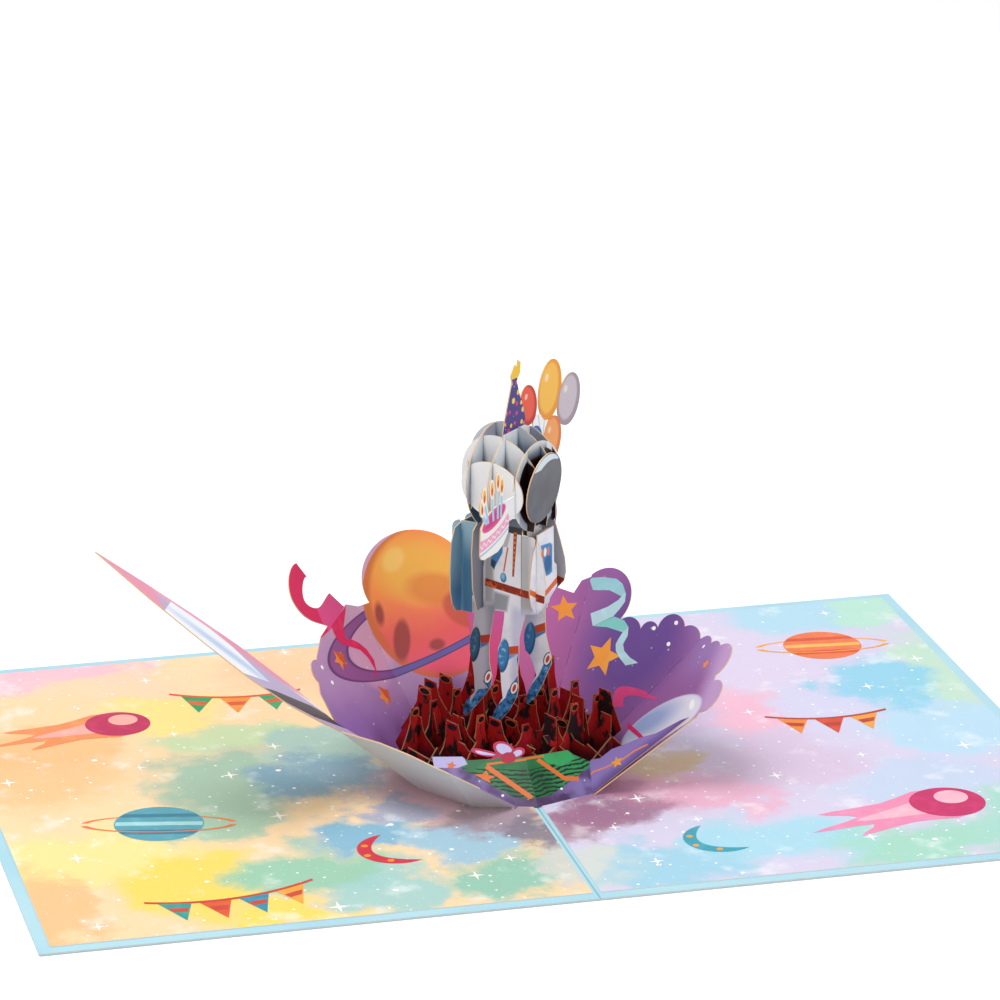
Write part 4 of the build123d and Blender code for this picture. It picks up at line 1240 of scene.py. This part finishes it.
def cake_ink(k, u, z):
    """Cake with five candles on the held out hand."""
    k.coat("f2f1f4", u.less(-6.0) * z.more(62.6))
    outline = [(-24.2, 61.7), (-23.6, 60.5), (-22.0, 60.1), (-16.0, 60.3), (-13.2, 61.6), (-11.0, 64.1),
               (-10.6, 66.8), (-11.5, 69.4), (-12.3, 72.0), (-14.0, 72.6), (-18.0, 71.8), (-21.8, 70.4),
               (-24.0, 68.2)]
    cake = inside(shape(u, z, outline))
    k.coat("f6f1ea", cake)
    e = ellipse(u, z, -17.7, 69.2, 5.5, 2.1, 17)
    side = cake * (z - u * 0.3).less(74.5)
    k.coat("f2a6c6", side * inside((e - 2.3).abs() - 1.1, 0.2))
    k.coat("fbe6ee", side * inside((e - 2.3 - (u * 3.2).sin() * 0.4).abs() - 0.22))
    k.coat("a9bfe4", side * inside((e - 4.1).abs() - 0.22))
    k.coat("e0508e", inside(e, 0.2))
    k.coat("cf2f80", inside(ellipse(u, z, -17.7, 69.2, 4.6, 1.3, 17), 0.5) * 0.8)
    for base, x, top in CANDLES:
        k.coat("f6f2ea", inside(bar(u, z, base, 68.4, x, top - 3.2, 0.9)) * z.more(71.9))
        k.coat("9ed0ea", inside(bar(u, z, base, 68.6, x, top - 3.4, 0.42)))
        k.coat("f6f2ea", inside(ellipse(u, z, x, top - 1.9, 1.3, 2.5)))
        k.coat("f6b93c", inside(ellipse(u, z, x, top - 2.0, 0.68, 1.7)))
        k.coat("e2502c", inside(ellipse(u, z, x, top - 2.5, 0.38, 0.9)))


def helmet_hollow(k, u, z):
    """Dark inside of the helmet behind the visor."""
    k.coat("6a7280", fade(z, 82.2, 79.2) * u.more(-2.3) * u.less(6.4) * 0.9)
    dark = inside(circle(u, z, 2.6, 71.2, 9.35), 0.2)
    k.coat(NIGHT, dark * fade(z, 79.4, 78.2) * u.less(5.6))
    k.coat(NIGHT, dark * fade(z + (u - 7.4) * 0.5, 79.9, 79.1) * u.more(5.4))


def a_slices():
    for node in ("figure_slice_back", "figure_slice_mid", "figure_slice_front", "helmet_back_disc",
                 "backpack_slice"):
        k, u, z, edge = plate_ink(node + "_paper", "a", "e6ecf1")
        # painted shade: wedges beside the crossings, and blue-grey darker towards the helmet's lower edge
        wedges(k, u, z, CROSS_B, 85.0, 0.16, "6d879f", 0.35 if node == "figure_slice_front" else 0.8)
        k.coat("8496aa", fade(z, 74.0, 61.5) * 0.6)
        if node == "figure_slice_front":
            helmet_hollow(k, u, z)
        if node != "helmet_back_disc":
            body = z.less(61.6) * u.abs().less(9.2)
            k.coat("e6e5ea", body)
            k.coat("a3a0a6", body * fade(k.noise(6, 2.0), 0.35, 0.65) * 0.6)
        if node in ("figure_slice_back", "figure_slice_mid"):
            # the back and middle plates are greyed, and darker from u -2.6 on, as painted shade
            k.coat("85858f", body)
            k.coat("4c5468", body * fade(u, -4.6, -2.6) * 0.8)
        if node == "figure_slice_back":
            k.coat("36566c", u.less(-3.6) * z.more(62.2) * z.less(68.0))
        if node == "figure_slice_front":
            belt(k, u, z, (-9.0, 46.4), (9.4, 46.4), 0.95)
        if node == "backpack_slice":
            k.coat("86b2c8", z.more(0.0))
            k.coat("4e80aa", fade(z + u * 0.5, 50.0, 41.0) * 0.8)
            k.coat("a2c8da", inside(ellipse(u, z, -4.4, 54.0, 3.4, 7.0), 3.0) * 0.6)
        if node == "figure_slice_mid":
            balloons_ink(k, u, z)
            hat_ink(k, u, z)
        if node == "figure_slice_front":
            cake_ink(k, u, z)
        k.coat(TAN, edge)
        if node == "figure_slice_front":
            hold = u.more(-13.4) * u.less(-6.2) * z.more(64.0) * z.less(73.0)
            k.coat("f4f3f5", edge * hold)
        dress(node, k.finish(0.5))


def visor():
    """Dark oval with a pale crescent at its upper left."""
    k, u, z, _ = plate_ink("visor_paper", "a", "4d4b54")
    k.coat("6a6974", fade(k.noise(8, 2.0), 0.4, 0.7) * 0.5)
    rim = ellipse(u, z, -0.7, 72.4, 7.7, 8.6)
    moon = inside(rim + 0.25) * (1.0 - inside(ellipse(u, z, 0.9, 70.1, 8.0, 8.9), 0.25))
    moon = moon * inside(z * -1.0 + 77.6, 0.2) * inside(beyond(u, z, 3.4, 77.0, 4.8, 80.0), 0.2)
    k.coat("d3e3ea", moon)
    k.coat(TAN, k.facing(tuple(VISOR_OUT)).abs().less(0.7))
    dress("visor", k.finish(0.32, sheen=0.5))


def chest_panel():
    k, u, z, edge = plate_ink("chest_paper", "a", "eceaf0")
    k.coat("cfd0dc", fade(k.noise(5, 2.0), 0.4, 0.7) * 0.5)
    k.coat("d2d0e6", fade(z, 45.5, 44.5) * 0.8)
    quad(k, u, z, [(-0.4, 57.8), (4.1, 57.3), (5.0, 56.4), (5.0, 49.8), (3.8, 49.4), (2.1, 49.5),
                   (0.8, 53.5)], "3c86c4", 0.3)
    k.coat("23588f", inside(ellipse(u, z, 3.0, 52.4, 1.6, 2.2), 0.6) * 0.8)
    for x, y, rx, code in ((0.4, 55.6, 0.52, "ee7a32"), (1.7, 55.6, 0.62, "f4f4f4"),
                           (3.2, 55.4, 0.52, "ee7a32")):
        k.coat(code, inside(ellipse(u, z, x, y, rx, 1.1)))
    quad(k, u, z, [(-5.8, 48.7), (-2.6, 46.9), (-2.6, 45.4), (-5.8, 47.4)], BELT_LIGHT)
    quad(k, u, z, [(-2.7, 47.0), (2.1, 46.0), (2.1, 44.5), (-2.7, 45.5)], BELT_LIGHT)
    quad(k, u, z, [(2.0, 46.0), (7.6, 47.9), (7.6, 46.3), (2.0, 44.5)], BELT_LIGHT)
    k.coat(TAN, edge)
    dress("chest_panel", k.finish(0.46))


# Rocky ground
def vents(offset, to_back, lo, hi, phase):
    """Middle of each chimney's mouth on a slat."""
    half = sqrt(BED_TOP_R ** 2 - offset ** 2)
    t0, t1 = max(-half, lo), min(half, hi)
    count = max(2, round((t1 - t0) / BED_PITCH))
    pitch = (t1 - t0) / count
    for j in range(count):
        wave = sin(phase * 2.1 + j * 2.3)
        tilt = 0.9 * cos(phase * 1.7 + j * 1.9)
        xc = t0 + (j + 0.5) * pitch + 0.7 * wave
        back = max(0.0, Q * (to_back * xc - offset)) / BED_R
        yield xc + 0.1 + tilt, BED_PEAK + 2.0 * wave + BED_RIM * (xc / BED_R) ** 2 + BED_BACK * back - 1.1


def ground():
    for family, offsets, facing_back, first in (("a", BED_A, 1, 0.4), ("b", BED_B, -1, 2.9)):
        across, out = plate_axes(family)
        for n, off in enumerate(offsets):
            node = f"bed_slat_{family}{n + 1}"
            k, _, z, edge = plate_ink(node + "_paper", family, "b00202")
            streak = k.noise(4.6, 3.0, 0.6, stretch=(1, 1, 0.45))
            # near-black patches by noise, slightly more of them low down as painted shade
            k.coat("22020a", fade(streak + fade(z, 11.0, 15.5) * 0.06, 0.49, 0.43))
            k.coat("c00e30", fade(streak, 0.60, 0.68) * 0.9)
            k.coat("d0581e", fade(k.noise(1.6, 3.0, 0.6), 0.60, 0.74) * fade(z, 9.0, 15.0) * 0.7)
            # near-black at the foot of each slat is painted shade of the bed's depths
            k.coat("22020a", fade(z, 9.0, 4.0) * 0.8)
            # cut edges in the darker tan, as painted shade
            k.coat(TAN_SHADED, edge)
            dress(node, k.finish(0.85))
            p = Print(node + "_vents", node, "ground_print")
            lo, hi = (off - BED_FRONT / Q, 99) if family == "a" else (-99, BED_FRONT / Q - off)
            for side in (1, -1):
                o = Vector((*AXIS, DECK)) + out * (off + side * PAPER / 2)
                sheet = Sheet(o, across, (0, 0, 1), out * side)
                for x, y in vents(off, facing_back, lo, hi, n + first):
                    p.lay(sheet, disc_points(x, y, 1.65, 1.0, -8, 18), ink("d0622a"), 1, whole=True)
                    p.lay(sheet, disc_points(x, y - 0.08, 1.35, 0.74, -8, 18), ink("160306"), 2, whole=True)
            if p.verts:
                p.done()


# Stage

def floor():
    mesh = bpy.data.meshes.new("floor")
    half = 6.0
    low = -0.0002
    corners = [(-half, -half, low), (half, -half, low), (half, half, low), (-half, half, low)]
    mesh.from_pydata(corners, [], [(0, 1, 2, 3)])
    sheet = bpy.data.objects.new("floor", mesh)
    bpy.context.scene.collection.objects.link(sheet)
    mat = bpy.data.materials.new("floor_white")
    mat.use_nodes = True
    t = mat.node_tree
    t.nodes.clear()
    out = t.nodes.new("ShaderNodeOutputMaterial")
    add = t.nodes.new("ShaderNodeAddShader")
    diffuse = t.nodes.new("ShaderNodeBsdfDiffuse")
    diffuse.inputs["Color"].default_value = (0.9, 0.9, 0.9, 1)
    glow = t.nodes.new("ShaderNodeEmission")
    path = t.nodes.new("ShaderNodeLightPath")
    lift = t.nodes.new("ShaderNodeMath")
    lift.operation = "MULTIPLY"
    lift.inputs[1].default_value = 0.22
    t.links.new(path.outputs["Is Camera Ray"], lift.inputs[0])
    t.links.new(lift.outputs[0], glow.inputs["Strength"])
    t.links.new(diffuse.outputs[0], add.inputs[0])
    t.links.new(glow.outputs[0], add.inputs[1])
    t.links.new(add.outputs[0], out.inputs["Surface"])
    mesh.materials.append(mat)


def lamp(name, place_at, aim, size, power):
    light = bpy.data.lights.new(name, "AREA")
    light.shape = "DISK"
    light.size = size
    light.energy = power
    o = bpy.data.objects.new(name, light)
    bpy.context.scene.collection.objects.link(o)
    o.location = place_at
    o.rotation_mode = "QUATERNION"
    o.rotation_quaternion = (Vector(aim) - Vector(place_at)).to_track_quat("-Z", "Y")


def studio():
    world = bpy.data.worlds.new("studio")
    bpy.context.scene.world = world
    world.use_nodes = True
    world.node_tree.nodes["Background"].inputs["Color"].default_value = (1, 1, 1, 1)
    world.node_tree.nodes["Background"].inputs["Strength"].default_value = 0.55
    lamp("key", (-0.35, 0.15, 1.15), (0, 0, 0.02), 0.8, 9.0)
    lamp("fill", (0.9, -0.9, 0.7), (0, 0, 0.04), 0.9, 5.0)


def camera():
    cam = bpy.data.cameras.new("camera")
    cam.sensor_width = SENSOR
    cam.lens = FOCAL_PX / PICTURE_PX * SENSOR
    cam.clip_start, cam.clip_end = 0.05, 20.0
    o = bpy.data.objects.new("camera", cam)
    bpy.context.scene.collection.objects.link(o)
    yaw, pitch = radians(CAMERA_YAW), radians(CAMERA_PITCH)
    o.location = CAMERA_AT
    look = Vector((sin(yaw) * cos(pitch), cos(yaw) * cos(pitch), -sin(pitch)))
    o.rotation_mode = "QUATERNION"
    o.rotation_quaternion = look.to_track_quat("-Z", "Y")
    bpy.context.scene.camera = o
    bpy.context.scene.view_settings.view_transform = "Standard"


floor()
studio()
camera()
cover()
page("liner_left", "page_left_paper", LEFT_WASH_AND_SHADOW, "fcd9aa")
page("liner_right", "page_right_paper", RIGHT_WASH_AND_SHADOW, "d9d2ea")
page_print()
left_wall()
left_wall_print()
right_wall()
right_wall_print()
front_panel()
front_panel_print()
b_slices()
a_slices()
visor()
chest_panel()
ground()
